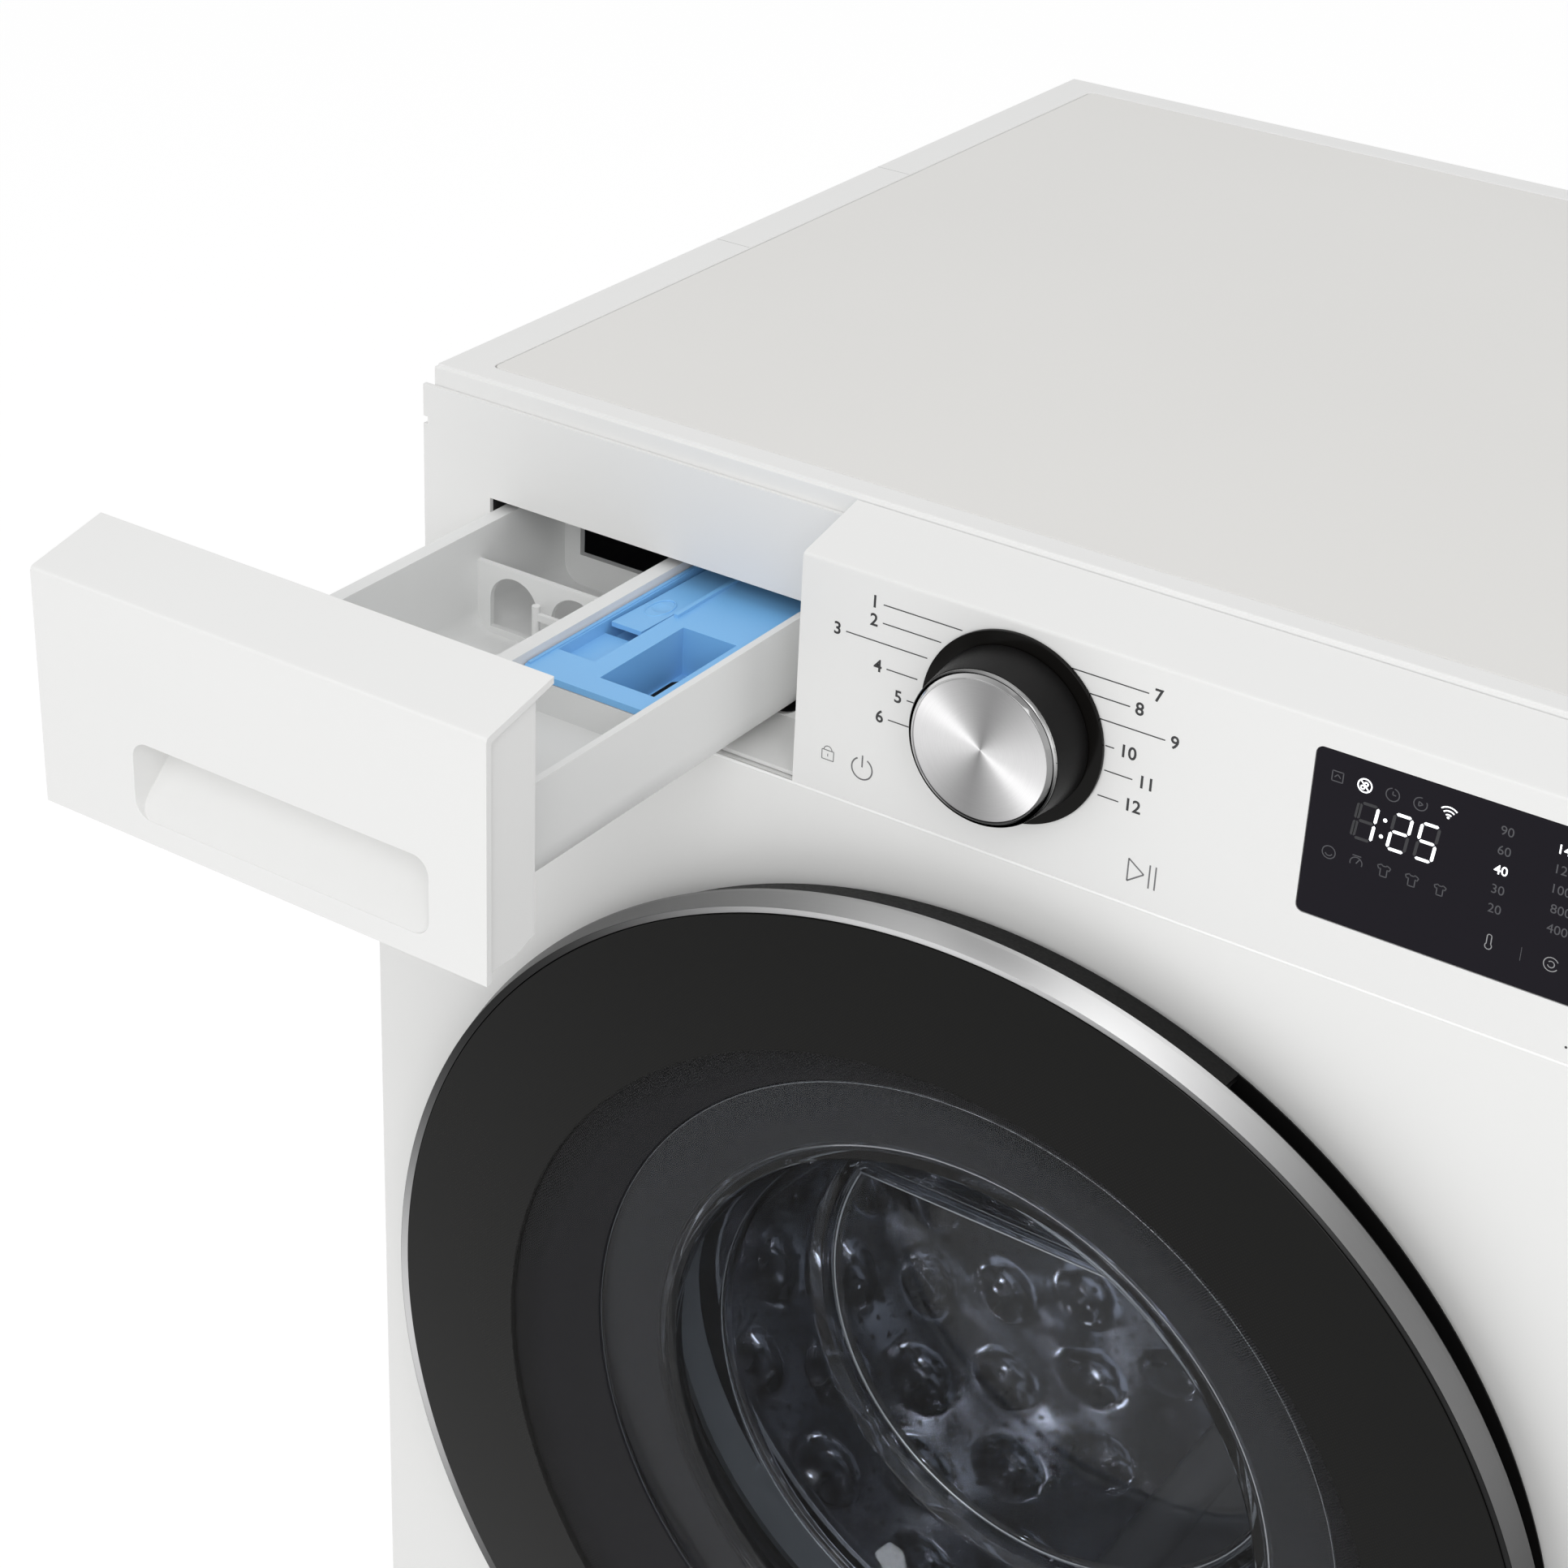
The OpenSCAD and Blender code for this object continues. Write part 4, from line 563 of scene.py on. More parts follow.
def funnel_plastic():
    """Black outside, and a little lighter on the funnel that the window shows: painted light for the light
    the black funnel catches behind the window.
    """
    black = (0.005, 0.0048, 0.0048)
    m = finish("door_funnel", black, 0.45, 700, 0.01, 0.1, level=0.05)
    t = m.node_tree
    painted_funnel_light = ramp(t, effect(t, rings, Centre=tuple(axis))["Radius"], 0.2046, 0.2040)
    # Painted light: inside the window the same black plastic is given a lighter blue-grey colour.
    mixed = blend_colour(t, painted_funnel_light, black, (0.054, 0.054, 0.060))
    feed(t, mixed, t.nodes["Principled BSDF"].inputs["Base Color"])
    return m


soften("door_frame", 0.4, material=funnel_plastic())
back_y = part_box("door_frame")[1].y
scoop = [(pane_r - 14 * MM, back_y - 0.7 * MM), (pane_r + 0.2 * MM, back_y - 0.7 * MM),
         (pane_r + 0.2 * MM, back_y), (pane_r - 14 * MM, back_y)]
lathe("scoop_floor", scoop, axis, "door", "black_satin", turns=256)
INNER = finish("inner_frame_black", (0.010, 0.010, 0.018), 0.45, 900, 0.05, 0.1, level=0.2)
soften("door_inner_frame", 0.5, material=INNER)
soften("drum_front", 0.4)
soften("bellows", 0.5, segments=3)
for name, shade in (("lifters", 0.12), ("bellows", 0.03)):
    dim = finish(name + "_in_shade", (shade, shade * 1.03, shade * 1.1), 0.4, 900, 0.1, 0.08, level=0.2)
    (bpy.data.objects.get(name + "_soft") or NODES[name]).data.materials[0] = dim
print("ring radius", round(ring_r, 4), "pane radius", round(pane_r, 4))

# %% [markdown]
# The bowl is pressed glass, about five millimetres thick. Its edge, the step under its flange and the
# rim of its bottom are what catches light, so the profile has each of them, rounded. Its upper side is
# cut by an oblique flat that turns the laundry back into the drum. Outer and inner skin are turned alone,
# cut by parallel planes, and joined at the front edge of the flange.

# %% Bowl
bowl_lo, bowl_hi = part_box("door_glass")
flange_r = radius_of(bowl_lo, bowl_hi)
bowl_front, bowl_end = bowl_lo.y, bowl_hi.y
GLASS = 5 * MM                                     # thickness of the bowl
FLATS = ((36, 52.0), (27, 50.7), (18, 49.2), (9, 47.0))  # tilt in degrees, height above the axis in mm


def from_front(*points):
    return [(r * MM, bowl_front + y * MM) for r, y in points]


def from_end(*points):
    return [(r * MM, bowl_end - y * MM) for r, y in points]


def quarter(r, back, size, steps):
    """A quarter circle of the given size round (r, end - back), all in millimetres."""
    return [(r * MM + size * MM * math.cos(a), bowl_end - back * MM + size * MM * math.sin(a))
            for a in (math.pi / 2 * k / 10 for k in steps)]


outer = [(flange_r, bowl_front), (flange_r, bowl_front + GLASS)]
outer += from_front((145, 5), (142, 8), (136.5, 34), (134.5, 37)) + from_end((125, 14), (120, 6))
outer += quarter(114, 6, 6, range(1, 10)) + [(0, bowl_end)]
inner = [(0, bowl_end - GLASS)] + quarter(109, 10, 5, range(9, 0, -1)) + from_end((114.5, 13), (120, 16))
inner += from_front((130, 36), (132, 33), (137, 5), (140, 0))
skin = round_profile(outer + inner, 1.2 * MM)
middle = skin.index((0, bowl_end))
bm = bmesh.new()
for part, inward in ((skin[:middle + 1], 0.0), (skin[middle + 1:] + skin[:1], GLASS)):
    side = bmesh.new()
    spin(side, part, axis, 256, False)
    for tilt, height in FLATS:
        out = Vector((0, math.cos(math.radians(tilt)), math.sin(math.radians(tilt))))
        on = Vector((axis.x, bowl_end, axis.z + height * MM)) - out * inward
        cut = bmesh.ops.bisect_plane(side, geom=side.verts[:] + side.edges[:] + side.faces[:], plane_co=on,
                                     plane_no=out, clear_outer=True)
        rim = [e for e in cut["geom_cut"] if isinstance(e, bmesh.types.BMEdge)]
        bmesh.ops.holes_fill(side, edges=rim, sides=0)
    half = mesh_of(side, "bowl_skin")
    bm.from_mesh(half)
    bpy.data.meshes.remove(half)
bmesh.ops.remove_doubles(bm, verts=bm.verts, dist=WELD)
print("bowl open edges", sum(len(e.link_faces) != 2 for e in bm.edges))
place("door_bowl", mesh_of(bm, "door_bowl", 9.5, True), "door", "bowl_glass", stands_for=("door_glass",))


def bead(name, path, r):
    """A thin bead of mirror-like metal along a closed path that lies square to Y, a painted highlight for an
    edge of the glass; r in millimetres.
    """
    sides = 8
    bm = bmesh.new()
    path = [Vector(p) for p in path]
    rows = []
    for i, p in enumerate(path):
        along = (path[(i + 1) % len(path)] - path[i - 1]).normalized()
        out = along.cross(Vector((0, 1, 0))).normalized()
        up = along.cross(out)
        rows.append([bm.verts.new(p + r * MM * (math.cos(b) * out + math.sin(b) * up))
                     for b in (2 * math.pi * k / sides for k in range(sides))])
    for a, b in zip(rows, rows[1:] + rows[:1]):
        for k in range(sides):
            n = (k + 1) % sides
            bm.faces.new((a[k], a[n], b[n], b[k]))
    place(name, mesh_of(bm, name, 60, True), "door", "bowl_glass", EDGE_GLINT)


def outline(r, y, chord=None):
    """A circle round the drum axis in millimetres, cut off by a level chord at the height given."""
    turns, steps = 160, 40
    a0 = math.asin(chord / r) if chord else math.pi / 2
    span = math.pi + 2 * a0 if chord else 2 * math.pi
    points = []
    for i in range(turns + (1 if chord else 0)):
        a = math.pi - a0 + span * i / turns
        points.append((axis.x + r * MM * math.cos(a), y, axis.z + r * MM * math.sin(a)))
    if chord:
        right = r * math.cos(a0)
        points += [(axis.x + right * MM * (1 - 2 * i / steps), y, axis.z + chord * MM)
                   for i in range(1, steps)]
    return points


# The beads are no part of the glass: mirror-like metal along the bowl's edge, step and rim, painted
# highlights that stand in for the glints of the glass edges.
EDGE_GLINT = finish("painted_edge_glint", (0.86, 0.91, 0.97), 0.12, 300, 0.3, 0.15, 1.0)
bead("bowl_bead_outer", outline(118.2, bowl_end - 1.8 * MM, 49.5), 0.7)
bead("bowl_bead_inner", outline(112.4, bowl_end - 6.6 * MM, 48.5), 0.55)
bead("bowl_bead_step", outline(136.3, bowl_front + 34.5 * MM), 0.6)
bead("bowl_bead_rim", outline(flange_r / MM - 0.6, bowl_front + 0.4 * MM), 0.3)
print("bowl depth", round(bowl_end - bowl_front, 4))

# %% [markdown]
# ## Softener cap
# The sprung tongue carries a raised oval for the finger. The well drains through an outlet, drawn as a flat
# black face: painted shade for the dark opening.

# %% Finger pad and outlet
tab_lo, tab_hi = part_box("push_tab")
siphon_lo, siphon_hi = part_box("softener_cap")
PAD_X, PAD_Y, PAD_BEAD = 4.6, 8.2, 0.45            # half axes of the oval and radius of its rim, in mm
bm = bmesh.new()
turn, side = 48, 8
grid = []
for i in range(turn):
    a = 2 * math.pi * i / turn
    for j in range(side):
        b = 2 * math.pi * j / side
        out = PAD_BEAD * math.cos(b)
        grid.append(bm.verts.new(((tab_lo.x + tab_hi.x) / 2 + (PAD_X + out) * math.cos(a) * MM,
                                  tab_lo.y + (22.0 + (PAD_Y + out) * math.sin(a)) * MM,
                                  tab_hi.z - (0.75 - PAD_BEAD * math.sin(b)) * MM)))
for i in range(turn):
    for j in range(side):
        k, n = (i + 1) % turn, (j + 1) % side
        bm.faces.new((grid[i * side + j], grid[k * side + j], grid[k * side + n], grid[i * side + n]))
place("finger_pad", mesh_of(bm, "finger_pad", 60), BODY["push_tab"], "cap_plastic")
# The outlet is a flat black face in the well, painted shade where the opening is dark.
bm = bmesh.new()
corners = ((17, 30), (13, 52), (15, 63), (24.6, 63), (30.2, 56), (30.2, 33))
bm.faces.new([bm.verts.new((siphon_hi.x - x * MM, siphon_lo.y + y * MM, siphon_hi.z - 21.3 * MM))
              for x, y in corners])
place("well_outlet", mesh_of(bm, "well_outlet"), BODY["softener_cap"], "cap_plastic", FINISH["black_satin"])
print("tongue top", round(tab_hi.z, 4))

# %% [markdown]
# ## Drum
# The drum is thin stainless sheet. Domes are pressed into it so that it is stiff and the laundry slides,
# and rows of small holes let the water out. The domes are real shape, because they bend the reflections.
# The holes are a mask in the material, because thousands of them would only cost time. Their near-black
# colour is painted shade for the dark space seen through them.

# %% Drum steel with holes
HOLE_R = 0.15                                      # of a hole, in cells


def drum_steel(name, rows_of_holes):
    """Stainless sheet; rows_of_holes gives the two coordinates in which each hole has a unit cell."""
    m = turned_metal(name, (0.47, 0.485, 0.52), 0.12, axis, 1300, 0.04, 0.0)
    t = m.node_tree
    p = t.nodes["Principled BSDF"]
    run, row = rows_of_holes(t, next(n for n in t.nodes if n.type == "GROUP").outputs)
    shift = calc(t, "MULTIPLY", calc(t, "MODULO", calc(t, "FLOOR", row), 2.0), 0.5)
    u = calc(t, "SUBTRACT", calc(t, "FRACT", calc(t, "ADD", run, shift)), 0.5)
    v = calc(t, "SUBTRACT", calc(t, "FRACT", row), 0.5)
    away = calc(t, "SQRT", calc(t, "ADD", calc(t, "MULTIPLY", u, u), calc(t, "MULTIPLY", v, v)))
    hole = calc(t, "LESS_THAN", away, HOLE_R)
    base = p.inputs["Base Color"]
    # Painted shade: the holes are near black and not metallic, for the dark tub behind them.
    feed(t, blend_colour(t, hole, base.links[0].from_socket, (0.004, 0.004, 0.005)), base)
    feed(t, ramp(t, hole, 0, 1, 1.0, 0.0), p.inputs["Metallic"])
    return m


def wall_rows(t, g):
    return calc(t, "MULTIPLY", g["Angle"], 72.0 / math.pi), calc(t, "DIVIDE", object_xyz(t)[1], 0.0105)


def back_rows(t, g):
    return calc(t, "MULTIPLY", g["Angle"], 36.0 / math.pi), calc(t, "DIVIDE", g["Radius"], 0.0125)


DRUM = drum_steel("drum_steel", wall_rows)
DRUM_BACK = drum_steel("drum_back_steel", back_rows)


# %% Embossed wall and back
def sheet_grid(name, steps, turns, seen_at, hidden_at, material, stands_for):
    """A pressed sheet round the drum axis: seen_at(i, j) gives the seen side, hidden_at(i, j) the other."""
    bm = bmesh.new()
    seen, hidden = ([[bm.verts.new(at(i, j)) for j in range(turns)] for i in range(steps + 1)]
                    for at in (seen_at, hidden_at))
    for g in (seen, hidden):
        for i in range(steps):
            for j in range(turns):
                k = (j + 1) % turns
                bm.faces.new((g[i][j], g[i][k], g[i + 1][k], g[i + 1][j]))
    for i in (0, steps):
        for j in range(turns):
            k = (j + 1) % turns
            bm.faces.new((seen[i][j], seen[i][k], hidden[i][k], hidden[i][j]))
    place(name, mesh_of(bm, name, 50, True), "drum", "stainless", material, stands_for)


def dome(distance, radius):
    """A soft dome of height one."""
    f = max(0.0, 1 - (distance / radius) ** 2)
    return f * f * (3 - 2 * f)


def about_axis(r, a, y):
    return axis.x + r * math.cos(a), y, axis.z + r * math.sin(a)


drum_r = radius_of(drum_lo, drum_hi)
y0, y1 = drum_lo.y, drum_hi.y
STEP = math.radians(15)                            # between the domes of one row
ROW_START, ROW_GAP = 0.030, 0.044                  # rows of domes, from the front edge of the drum
DOME_HEIGHT, DOME_R = 0.0045, 0.019
LIFTERS = [math.radians(a) for a in (-90, 150, 30)]
WALL_STEPS, WALL_TURNS = 120, 360
BACK_STEPS, BACK_TURNS = 110, 300
BACK_RINGS = ((0.098, 9), (0.140, 15), (0.184, 21))  # radius of each ring and its number of domes


def wall_height(a, y):
    k = round((y - y0 - ROW_START) / ROW_GAP)
    shift = 0.5 * (k % 2)
    c = (round(a / STEP - shift) + shift) * STEP
    yk = y0 + ROW_START + k * ROW_GAP
    if yk > y1 - 0.02 or k < 0:
        return 0.0
    if any(abs((c - q + math.pi) % (2 * math.pi) - math.pi) < math.radians(14) for q in LIFTERS):
        return 0.0
    return DOME_HEIGHT * dome(math.hypot((a - c) * drum_r, y - yk), DOME_R)


def wall_place(i, j):
    return 2 * math.pi * j / WALL_TURNS, y0 + (y1 - y0) * i / WALL_STEPS


def wall_seen(i, j):
    a, y = wall_place(i, j)
    return about_axis(drum_r - 1.2 * MM - wall_height(a, y), a, y)


def wall_hidden(i, j):
    return about_axis(drum_r, *wall_place(i, j))


sheet_grid("drum_wall", WALL_STEPS, WALL_TURNS, wall_seen, wall_hidden, DRUM, ("drum_shell",))
back_lo, back_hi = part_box("drum_back")


def back_height(r, a):
    """Three arms in line with the lifters, a hub, and rings of domes."""
    arms = max(0.0, max(math.cos(a - q) for q in LIFTERS))
    side = r * math.sqrt(max(0.0, 1 - arms * arms))
    h = 0.008 * dome(side, 0.034) * min(1, max(0.0, (drum_r - 0.02 - r) / 0.03))
    h = max(h, 0.011 * dome(r, 0.062))
    for ring, count in BACK_RINGS:
        c = round(a / (2 * math.pi / count)) * 2 * math.pi / count
        d = math.sqrt(r * r + ring * ring - 2 * r * ring * math.cos(a - c))
        h = max(h, 0.005 * dome(d, 0.016))
    return h


def back_place(i, j):
    return 0.006 + (drum_r - 0.0075) * i / BACK_STEPS, 2 * math.pi * j / BACK_TURNS


def back_seen(i, j):
    r, a = back_place(i, j)
    return about_axis(r, a, back_lo.y - back_height(r, a))


def back_hidden(i, j):
    return about_axis(*back_place(i, j), back_hi.y)


sheet_grid("drum_back_pressed", BACK_STEPS, BACK_TURNS, back_seen, back_hidden, DRUM_BACK, ("drum_back",))
print("drum radius", round(drum_r, 4), "depth", round(y1 - y0, 4))

# %% [markdown]
# ## Prints and icons
# The lines, numbers and icons on the fascia are printed ink, so they are flat shapes a hair in front of
# the plastic. An icon is drawn with strokes of one width and round joints. Programme names are left
# off, and plain numbers stand in their places.

# %% Ink helpers
def ink(name, colour, glow=0.0):
    m = finish(name, colour, 0.45, 1800, 0.05, 0.10)
    if glow:
        set_inputs(m.node_tree.nodes["Principled BSDF"], Emission_Color=(*colour, 1), Emission_Strength=glow)
    return m


def arc(x, z, r, a0=0.0, a1=360.0, n=28):
    return [(x + r * math.cos(math.radians(a0 + (a1 - a0) * i / n)),
             z + r * math.sin(math.radians(a0 + (a1 - a0) * i / n))) for i in range(n + 1)]


def box_line(x0, z0, x1, z1):
    return [(x0, z0), (x1, z0), (x1, z1), (x0, z1), (x0, z0)]


def plot(name, strokes, y, width, slot_name, material, fills=()):
    """Strokes and filled outlines in millimetres, drawn in the plane y that faces the user."""
    bm = bmesh.new()

    def patch(corners):
        turn = sum(a[0] * b[1] - b[0] * a[1] for a, b in zip(corners, corners[1:] + corners[:1]))
        if turn < 0:
            corners = corners[::-1]
        bm.faces.new([bm.verts.new((x * MM, y, z * MM)) for x, z in corners])

    for line in strokes:
        for (ax, az), (bx, bz) in zip(line, line[1:]):
            d = math.hypot(bx - ax, bz - az)
            if d < 1e-6:
                continue
            nx, nz = -(bz - az) / d * width / 2, (bx - ax) / d * width / 2
            patch([(ax + nx, az + nz), (bx + nx, bz + nz), (bx - nx, bz - nz), (ax - nx, az - nz)])
    for f in fills:
        patch(list(f))
    place(name, mesh_of(bm, name), "machine", slot_name, material)


def number(text, x, z, size, y, slot_name, material, bold, align="CENTER"):
    c = bpy.data.curves.new("number_" + text, "FONT")
    c.body = text
    c.size = size * MM
    c.align_x = align
    c.align_y = "CENTER"
    c.offset = bold * MM
    c.resolution_u = 4
    tmp = bpy.data.objects.new("tmp", c)
    bpy.context.scene.collection.objects.link(tmp)
    bpy.context.view_layer.update()
    me = bpy.data.meshes.new_from_object(tmp.evaluated_get(bpy.context.evaluated_depsgraph_get()))
    bpy.data.objects.remove(tmp)
    for v in me.vertices:
        v.co = Vector((x * MM + v.co.x, y, z * MM + v.co.y))
    place(f"number_{text}_{int(x)}_{int(z)}".replace("-", "m"), me, "machine", slot_name, material)


# %% Fascia prints
INK = ink("fascia_ink", (0.030, 0.030, 0.032))
PALE_INK = ink("fascia_ink_pale", (0.17, 0.17, 0.175))
face = panel_y - 0.06 * MM
# Leader lines of the dial as (from x, to x, z), in mm; the numbers stand at their outer ends.
LEFT = ((-56.2, -22.9, 829.0), (-56.1, -31.2, 821.6), (-71.5, -36.5, 813.5), (-53.3, -40.0, 803.7),
        (-43.9, -40.8, 793.8), (-51.3, -41.4, 783.3))
RIGHT = ((20.5, 52.7, 828.4), (29.3, 46.0, 821.0), (34.7, 60.7, 812.6), (38.0, 41.5, 802.9),
         (38.5, 49.8, 793.2), (36.9, 45.3, 782.6))
PRINT_SIZE, PRINT_GAP, PRINT_BOLD = 7.0, 2.0, 0.13
plot("dial_leader_lines", [[(a, z), (b, z)] for a, b, z in LEFT + RIGHT], face, 0.46, "black_satin", INK)
for i, (a, b, z) in enumerate(LEFT):
    number(str(i + 1), a - PRINT_GAP, z, PRINT_SIZE, face, "black_satin", INK, PRINT_BOLD, "RIGHT")
for i, (a, b, z) in enumerate(RIGHT):
    number(str(i + 7), b + PRINT_GAP, z, PRINT_SIZE, face, "black_satin", INK, PRINT_BOLD, "LEFT")
x, z = -61.2, 759.7
plot("power_mark", [arc(x, z - 0.4, 4.5, 118, 422, 40), [(x, z + 0.2), (x, z + 5.2)]], face, 0.62,
     "black_satin", PALE_INK)
x, z = -76.5, 761.5
plot("lock_mark", [box_line(x - 2.6, z - 3.6, x + 2.6, z + 0.4), arc(x, z + 0.4, 1.8, 0, 180, 14),
     [(x, z - 2.2), (x, z - 1.0)]], face, 0.35, "black_satin", PALE_INK)
x, z = 57.2, 757.2
plot("start_mark", [[(x - 5.4, z - 4.6), (x - 5.4, z + 4.6), (x + 1.0, z), (x - 5.4, z - 4.6)],
     [(x + 3.2, z - 4.8), (x + 3.2, z + 4.8)], [(x + 5.6, z - 4.8), (x + 5.6, z + 4.8)]], face, 0.6,
     "black_satin", PALE_INK)
plot("buzzer_hole", [], face, 0.3, "black_satin", INK, fills=[arc(218, 749.5, 0.5, 0, 345, 12)])
print("fascia prints placed")

# %% [markdown]
# ## Display
# Behind the dark pane sit seven segment digits, a row of icons above and below, and columns of numbers.
# Unlit segments still show faintly. The lit ones glow with a strength near one, so they read as white.

# %% Display
soften("display_window", 0.25)
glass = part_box("display_window")[0].y - 0.05 * MM
LIT = ink("display_lit", (0.95, 0.97, 1.0), 1.15)
DIM = ink("display_dim", (0.075, 0.075, 0.085))
GHOST = ink("display_ghost", (0.022, 0.022, 0.026))
LEAN = 0.10                                        # how far the digits lean to the right, per height
DIGIT_W, DIGIT_H, DIGIT_Z = 6.2, 13.7, 800.3


def segment_digit(x):
    """The seven segments a..g of one digit, as outlines."""
    w, h, half = DIGIT_W, DIGIT_H, 1.15 / 2
    tip = 0.35                                     # from a corner to the point of the bar

    def at(px, pz):
        return x + px + (pz - h / 2) * LEAN, DIGIT_Z + pz

    def bar(a, b):
        (ax, az), (bx, bz) = a, b
        if abs(az - bz) < 1e-6:
            return [at(ax + tip, az), at(ax + tip + half, az + half), at(bx - tip - half, bz + half),
                    at(bx - tip, bz), at(bx - tip - half, bz - half), at(ax + tip + half, az - half)]
        return [at(ax, az + tip), at(ax + half, az + tip + half), at(bx + half, bz - tip - half),
                at(bx, bz - tip), at(bx - half, bz - tip - half), at(ax - half, az + tip + half)]

    m = h / 2
    ends = {"a": ((0, h), (w, h)), "b": ((w, m), (w, h)), "c": ((w, 0), (w, m)), "d": ((0, 0), (w, 0)),
            "e": ((0, 0), (0, m)), "f": ((0, m), (0, h)), "g": ((0, m), (w, m))}
    return {name: bar(*pair) for name, pair in ends.items()}


lit, ghost = [], []
for x, built, shown in ((127.2, "bc", ""), (134.3, "abcdefg", "bc"), (146.6, "abcdefg", "abged"),
                        (156.4, "abcdefg", "afgcd")):
    for name, segment in segment_digit(x).items():
        if name in built:
            (lit if name in shown else ghost).append(segment)
for z in (803.8, 810.2):
    lit.append(arc(143.7 + (z - 807) * LEAN, z, 0.75, 0, 330, 10))
plot("digits_lit", [], glass, 1, "display_glass", LIT, fills=lit)
plot("digits_ghost", [], glass, 1, "display_glass", GHOST, fills=ghost)

z = 820.5
plot("icons_lit", [arc(135.2, z, 2.5), [(133.6, z + 1.7), (136.8, z - 1.7)], arc(134.5, z - 0.8, 0.7, n=10),
     arc(135.6, z + 0.6, 0.7, n=10), *[arc(165.4, z - 1.9, r, 48, 132, 12) for r in (1.4, 2.8, 4.2)]],
     glass, 0.5, "display_glass", LIT, fills=[arc(165.4, z - 1.6, 0.5, 0, 330, 10)])
shirt = [(-2.4, 1.6), (-1.0, 2.3), (-0.6, 1.8), (0.6, 1.8), (1.0, 2.3), (2.4, 1.6), (1.9, 0.4), (1.2, 0.7),
         (1.2, -2.2), (-1.2, -2.2), (-1.2, 0.7), (-1.9, 0.4), (-2.4, 1.6)]
low = 791.3
dim = [box_line(123.2, z - 1.9, 127.2, z + 1.9), [(124.1, z - 0.4), (125.2, z + 0.8), (126.3, z - 0.4)],
       arc(145.3, z, 2.4, 100, 440), [(145.3, z + 1.3), (145.3, z), (146.5, z)],
       arc(155.3, z, 2.4, 80, 390), [(154.7, z - 0.9), (154.7, z + 0.9), (156.2, z), (154.7, z - 0.9)],
       arc(125.8, low, 2.4), arc(125.8, low, 1.3, 200, 340), arc(136.0, low - 0.6, 2.2, -20, 200),
       [(136.0, low - 0.8), (137.1, low + 1.0)], [(134.4, low + 2.2), (137.6, low + 2.2)]]
dim += [[(x + a * s, low + b * s) for a, b in shirt] for x, s in ((146.1, 1.0), (156.3, 1.0), (166.5, 0.9))]
plot("icons_dim", dim, glass, 0.38, "display_glass", DIM)
for x, column, on in ((186, "90 60 40 30 20", 2), (208, "1400 1200 1000 800 400", 0), (232, "5 4 3 2 1", 3),
                      (254, "8 6 4 2 0", 4)):
    for i, (text, zr) in enumerate(zip(column.split(), (820.8, 813.4, 806.0, 798.6, 791.2))):
        colour, bold = (LIT, 0.05) if i == on else (DIM, 0.0)
        number(text, x, zr, 4.9, glass, "display_glass", colour, bold)
z = 778.2
plot("key_marks", [[(x, z - 2.6), (x, z + 2.6)] for x in (197.4, 220.4, 243.4)], glass, 0.22,
     "display_glass", DIM)
key_ink = ink("display_keys", (0.34, 0.34, 0.35))
plot("key_icons", [arc(186, z - 1.3, 1.2, 130, 410, 16), [(185.2, z - 0.4), (185.2, z + 2.4)],
     [(186.8, z - 0.4), (186.8, z + 2.4)], arc(186, z + 2.4, 0.8, 0, 180, 10),
     arc(208, z, 2.6, 30, 330), arc(208, z, 1.2, 200, 500), arc(232, z, 2.4, 0, 360),
     [(229.8, z), (230.9, z + 0.9), (232, z), (233.1, z - 0.9), (234.2, z)],
     arc(254, z, 2.5), [(254, z + 1.5), (254, z), (255.2, z)]], glass, 0.35, "display_glass", key_ink)
print("display done")

# %% [markdown]
# ## Small hardware
# Screws hold the rear cover and the worktop. A head is a low dome with a recess, turned on the same
# lathe. The rim of the worktop is made of bars, and two fine joints show where they meet.

# %% Screws and joints
def screw(name, x, y, z):
    """A domed head that looks back along Y."""
    r = 4 * MM
    head = [(0, y), (r, y), (r, y + 0.35 * r), (r * 0.75, y + 0.62 * r), (r * 0.42, y + 0.7 * r),
            (r * 0.36, y + 0.3 * r), (0, y + 0.3 * r)]
    lathe(name, round_profile(head, 0.1 * r, 2), Vector((x, 0, z)), "machine", "zinc_steel", turns=28,
          sharp=40)


cover_lo, cover_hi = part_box("rear_cover")
cover_middle = (cover_lo.z + cover_hi.z) / 2
cover_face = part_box("rear_wall")[1].y + 1.5 * MM
for i, x in enumerate((-192, 192)):
    for k, dz in enumerate((-170, 0, 170)):
        screw(f"cover_screw_{i}{k}", x * MM, cover_face, cover_middle + dz * MM)
rim_lo, rim_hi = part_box("top_rim")
for i, x in enumerate((-250, 250)):
    screw(f"worktop_screw_{i}", x * MM, rim_hi.y, rim_lo.z + 9 * MM)

joint_and_shadow_ink = ink("joint_shadow", (0.50, 0.50, 0.49))
bm = bmesh.new()
top, left, proud = rim_hi.z, rim_lo.x, 0.02 * MM
for d in (233.6, 369.0):
    y = panel_y + d * MM
    path = [(left - proud, top - 9 * MM), (left - proud, top - 1.6 * MM),
            (left + 1.4 * MM, top + 0.2 * proud), (left + 19 * MM, top + 0.2 * proud)]
    near, far = ([bm.verts.new((x, y + s * 0.2 * MM, z)) for x, z in path] for s in (-1, 1))
    for k in range(3):
        bm.faces.new((near[k], near[k + 1], far[k + 1], far[k]))
place("rim_joints", mesh_of(bm, "rim_joints"), "machine", "white_plastic", joint_and_shadow_ink)
print("hardware placed")
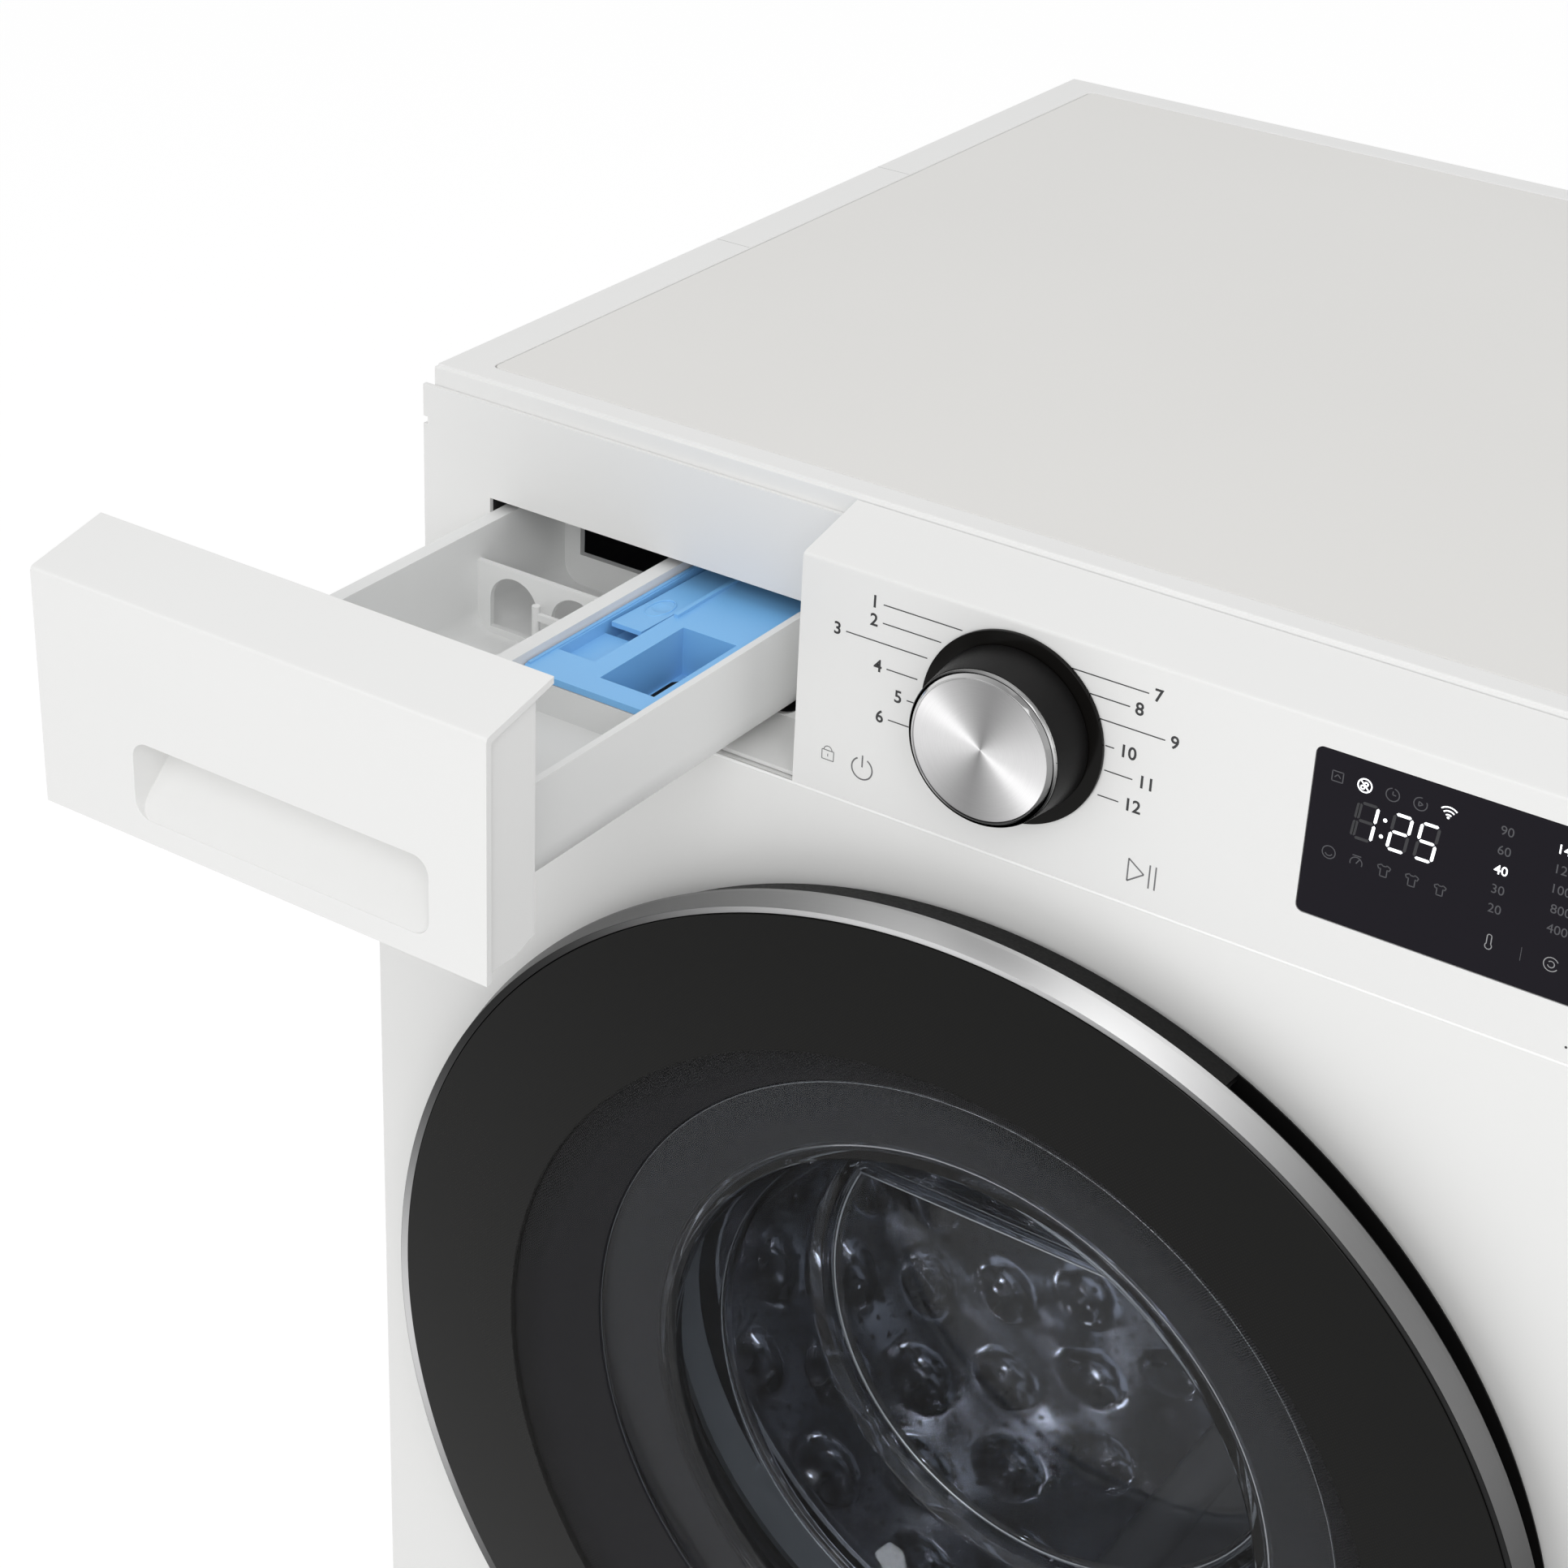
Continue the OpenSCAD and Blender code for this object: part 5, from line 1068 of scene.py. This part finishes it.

# %% [markdown]
# The seam under the control panel is closed by a light lip, a thin rod of white plastic a little behind
# the faces that it joins. Its rounded edge is real shape, and its near-white colour, lighter than the panels,
# is a painted highlight. A fine painted shadow line, a grey strip flush with the faces, runs above it.

# %% Seam
panel_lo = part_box("control_panel")[0]
front_lo, front_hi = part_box("front_panel")
seam = (panel_lo.z + front_hi.z) / 2
LIP_R, LIP_DEPTH, LIP_DROP = 0.75 * MM, 0.55 * MM, 0.5 * MM
start, end = (Vector((x, panel_y + LIP_DEPTH, seam - LIP_DROP))
              for x in (front_lo.x + 2 * MM, front_hi.x - 2 * MM))
run = end - start
bm = bmesh.new()
bmesh.ops.create_cone(bm, cap_ends=True, segments=12, radius1=LIP_R, radius2=LIP_R, depth=run.length)
bm.transform(Matrix.Translation((start + end) / 2) @ run.to_track_quat("Z", "Y").to_matrix().to_4x4())
# The lip is lighter than the white plastic it joins: a painted highlight along the seam.
lip = finish("seam_lip", (0.99, 0.99, 0.985), 0.3, 900, 0.0, 0.01)
place("seam_lip", mesh_of(bm, "seam_lip", 40), "machine", "white_plastic", lip)
# Painted shadow: a grey strip flush with the faces, where the gap above the lip is in shade.
plot("seam_shadow", [[(front_lo.x / MM + 2, seam / MM + 0.55), (front_hi.x / MM - 2, seam / MM + 0.55)]],
     panel_y + 0.1 * MM, 0.55, "white_plastic", joint_and_shadow_ink)
print("seam height", round(seam, 4), "gap", round(panel_lo.z - front_hi.z, 5))

# %% [markdown]
# ## Light and ground
# A large soft lamp on the camera's side, weaker ones in front, above and on the right, and an even sky
# give the pale, nearly shadowless look of a product picture. Together they light a surface at about the
# level its colour is written. The sky and the floor are white to the camera, to glossy rays and to glass.
# A small lamp inside the drum gives its domes their glints.

# %% Light and ground
def seen_directly(t):
    rays = node(t, "ShaderNodeLightPath").outputs
    return calc(t, "MAXIMUM", calc(t, "MAXIMUM", rays["Is Camera Ray"], rays["Is Glossy Ray"]),
                rays["Is Transmission Ray"])


sky = bpy.data.worlds.new("studio_sky")
bpy.context.scene.world = sky
sky.use_nodes = True
t = sky.node_tree
back = t.nodes["Background"]
feed(t, ramp(t, seen_directly(t), 0, 1, 0.60, 1.0), back.inputs["Strength"])
back.inputs["Color"].default_value = (1, 1, 1, 1)


def lamp(name, at, aim, size, watts):
    d = bpy.data.lights.new(name, "AREA")
    d.shape = "RECTANGLE"
    d.size, d.size_y = size
    d.energy = watts
    o = bpy.data.objects.new(name, d)
    o.location = at
    o.rotation_euler = (Vector(aim) - Vector(at)).to_track_quat("-Z", "Y").to_euler()
    bpy.context.scene.collection.objects.link(o)


lamp("key_softbox", (1.3, -2.7, 2.6), (0, -0.1, 0.7), (2.2, 2.2), 37)
lamp("front_softbox", (-0.6, -3.1, 1.6), (0, -0.2, 0.55), (2.2, 2.0), 10)
lamp("top_softbox", (0.2, 0.3, 3.2), (0, 0, 0.8), (2.4, 2.4), 8)
lamp("side_softbox", (3.0, -1.5, 1.8), (0, 0, 0.6), (2.0, 2.0), 2)
lamp("drum_light", (axis.x + 0.05, drum_lo.y + 0.02, axis.z + 0.17),
     (axis.x - 0.03, drum_hi.y, axis.z - 0.10), (0.04, 0.02), 0.42)

bm = bmesh.new()
bm.faces.new([bm.verts.new(c) for c in ((-7, -7, 0), (7, -7, 0), (7, 7, 0), (-7, 7, 0))])
ground = mesh_of(bm, "studio_floor")
floor = bpy.data.objects.new("studio_floor", ground)
bpy.context.scene.collection.objects.link(floor)
m, t, p = new_material("studio_floor", (0.8, 0.8, 0.8, 1))
set_inputs(p, Base_Color=(0.92, 0.92, 0.92, 1), Roughness=0.9)
glow = node(t, "ShaderNodeEmission")
glow.inputs["Strength"].default_value = 1.12
mix = node(t, "ShaderNodeMixShader")
feed(t, ramp(t, seen_directly(t), 0, 1, 0, 0.75), mix.inputs[0])
feed(t, p.outputs[0], mix.inputs[1])
feed(t, glow.outputs[0], mix.inputs[2])
feed(t, mix.outputs[0], t.nodes["Material Output"].inputs["Surface"])
ground.materials.append(m)
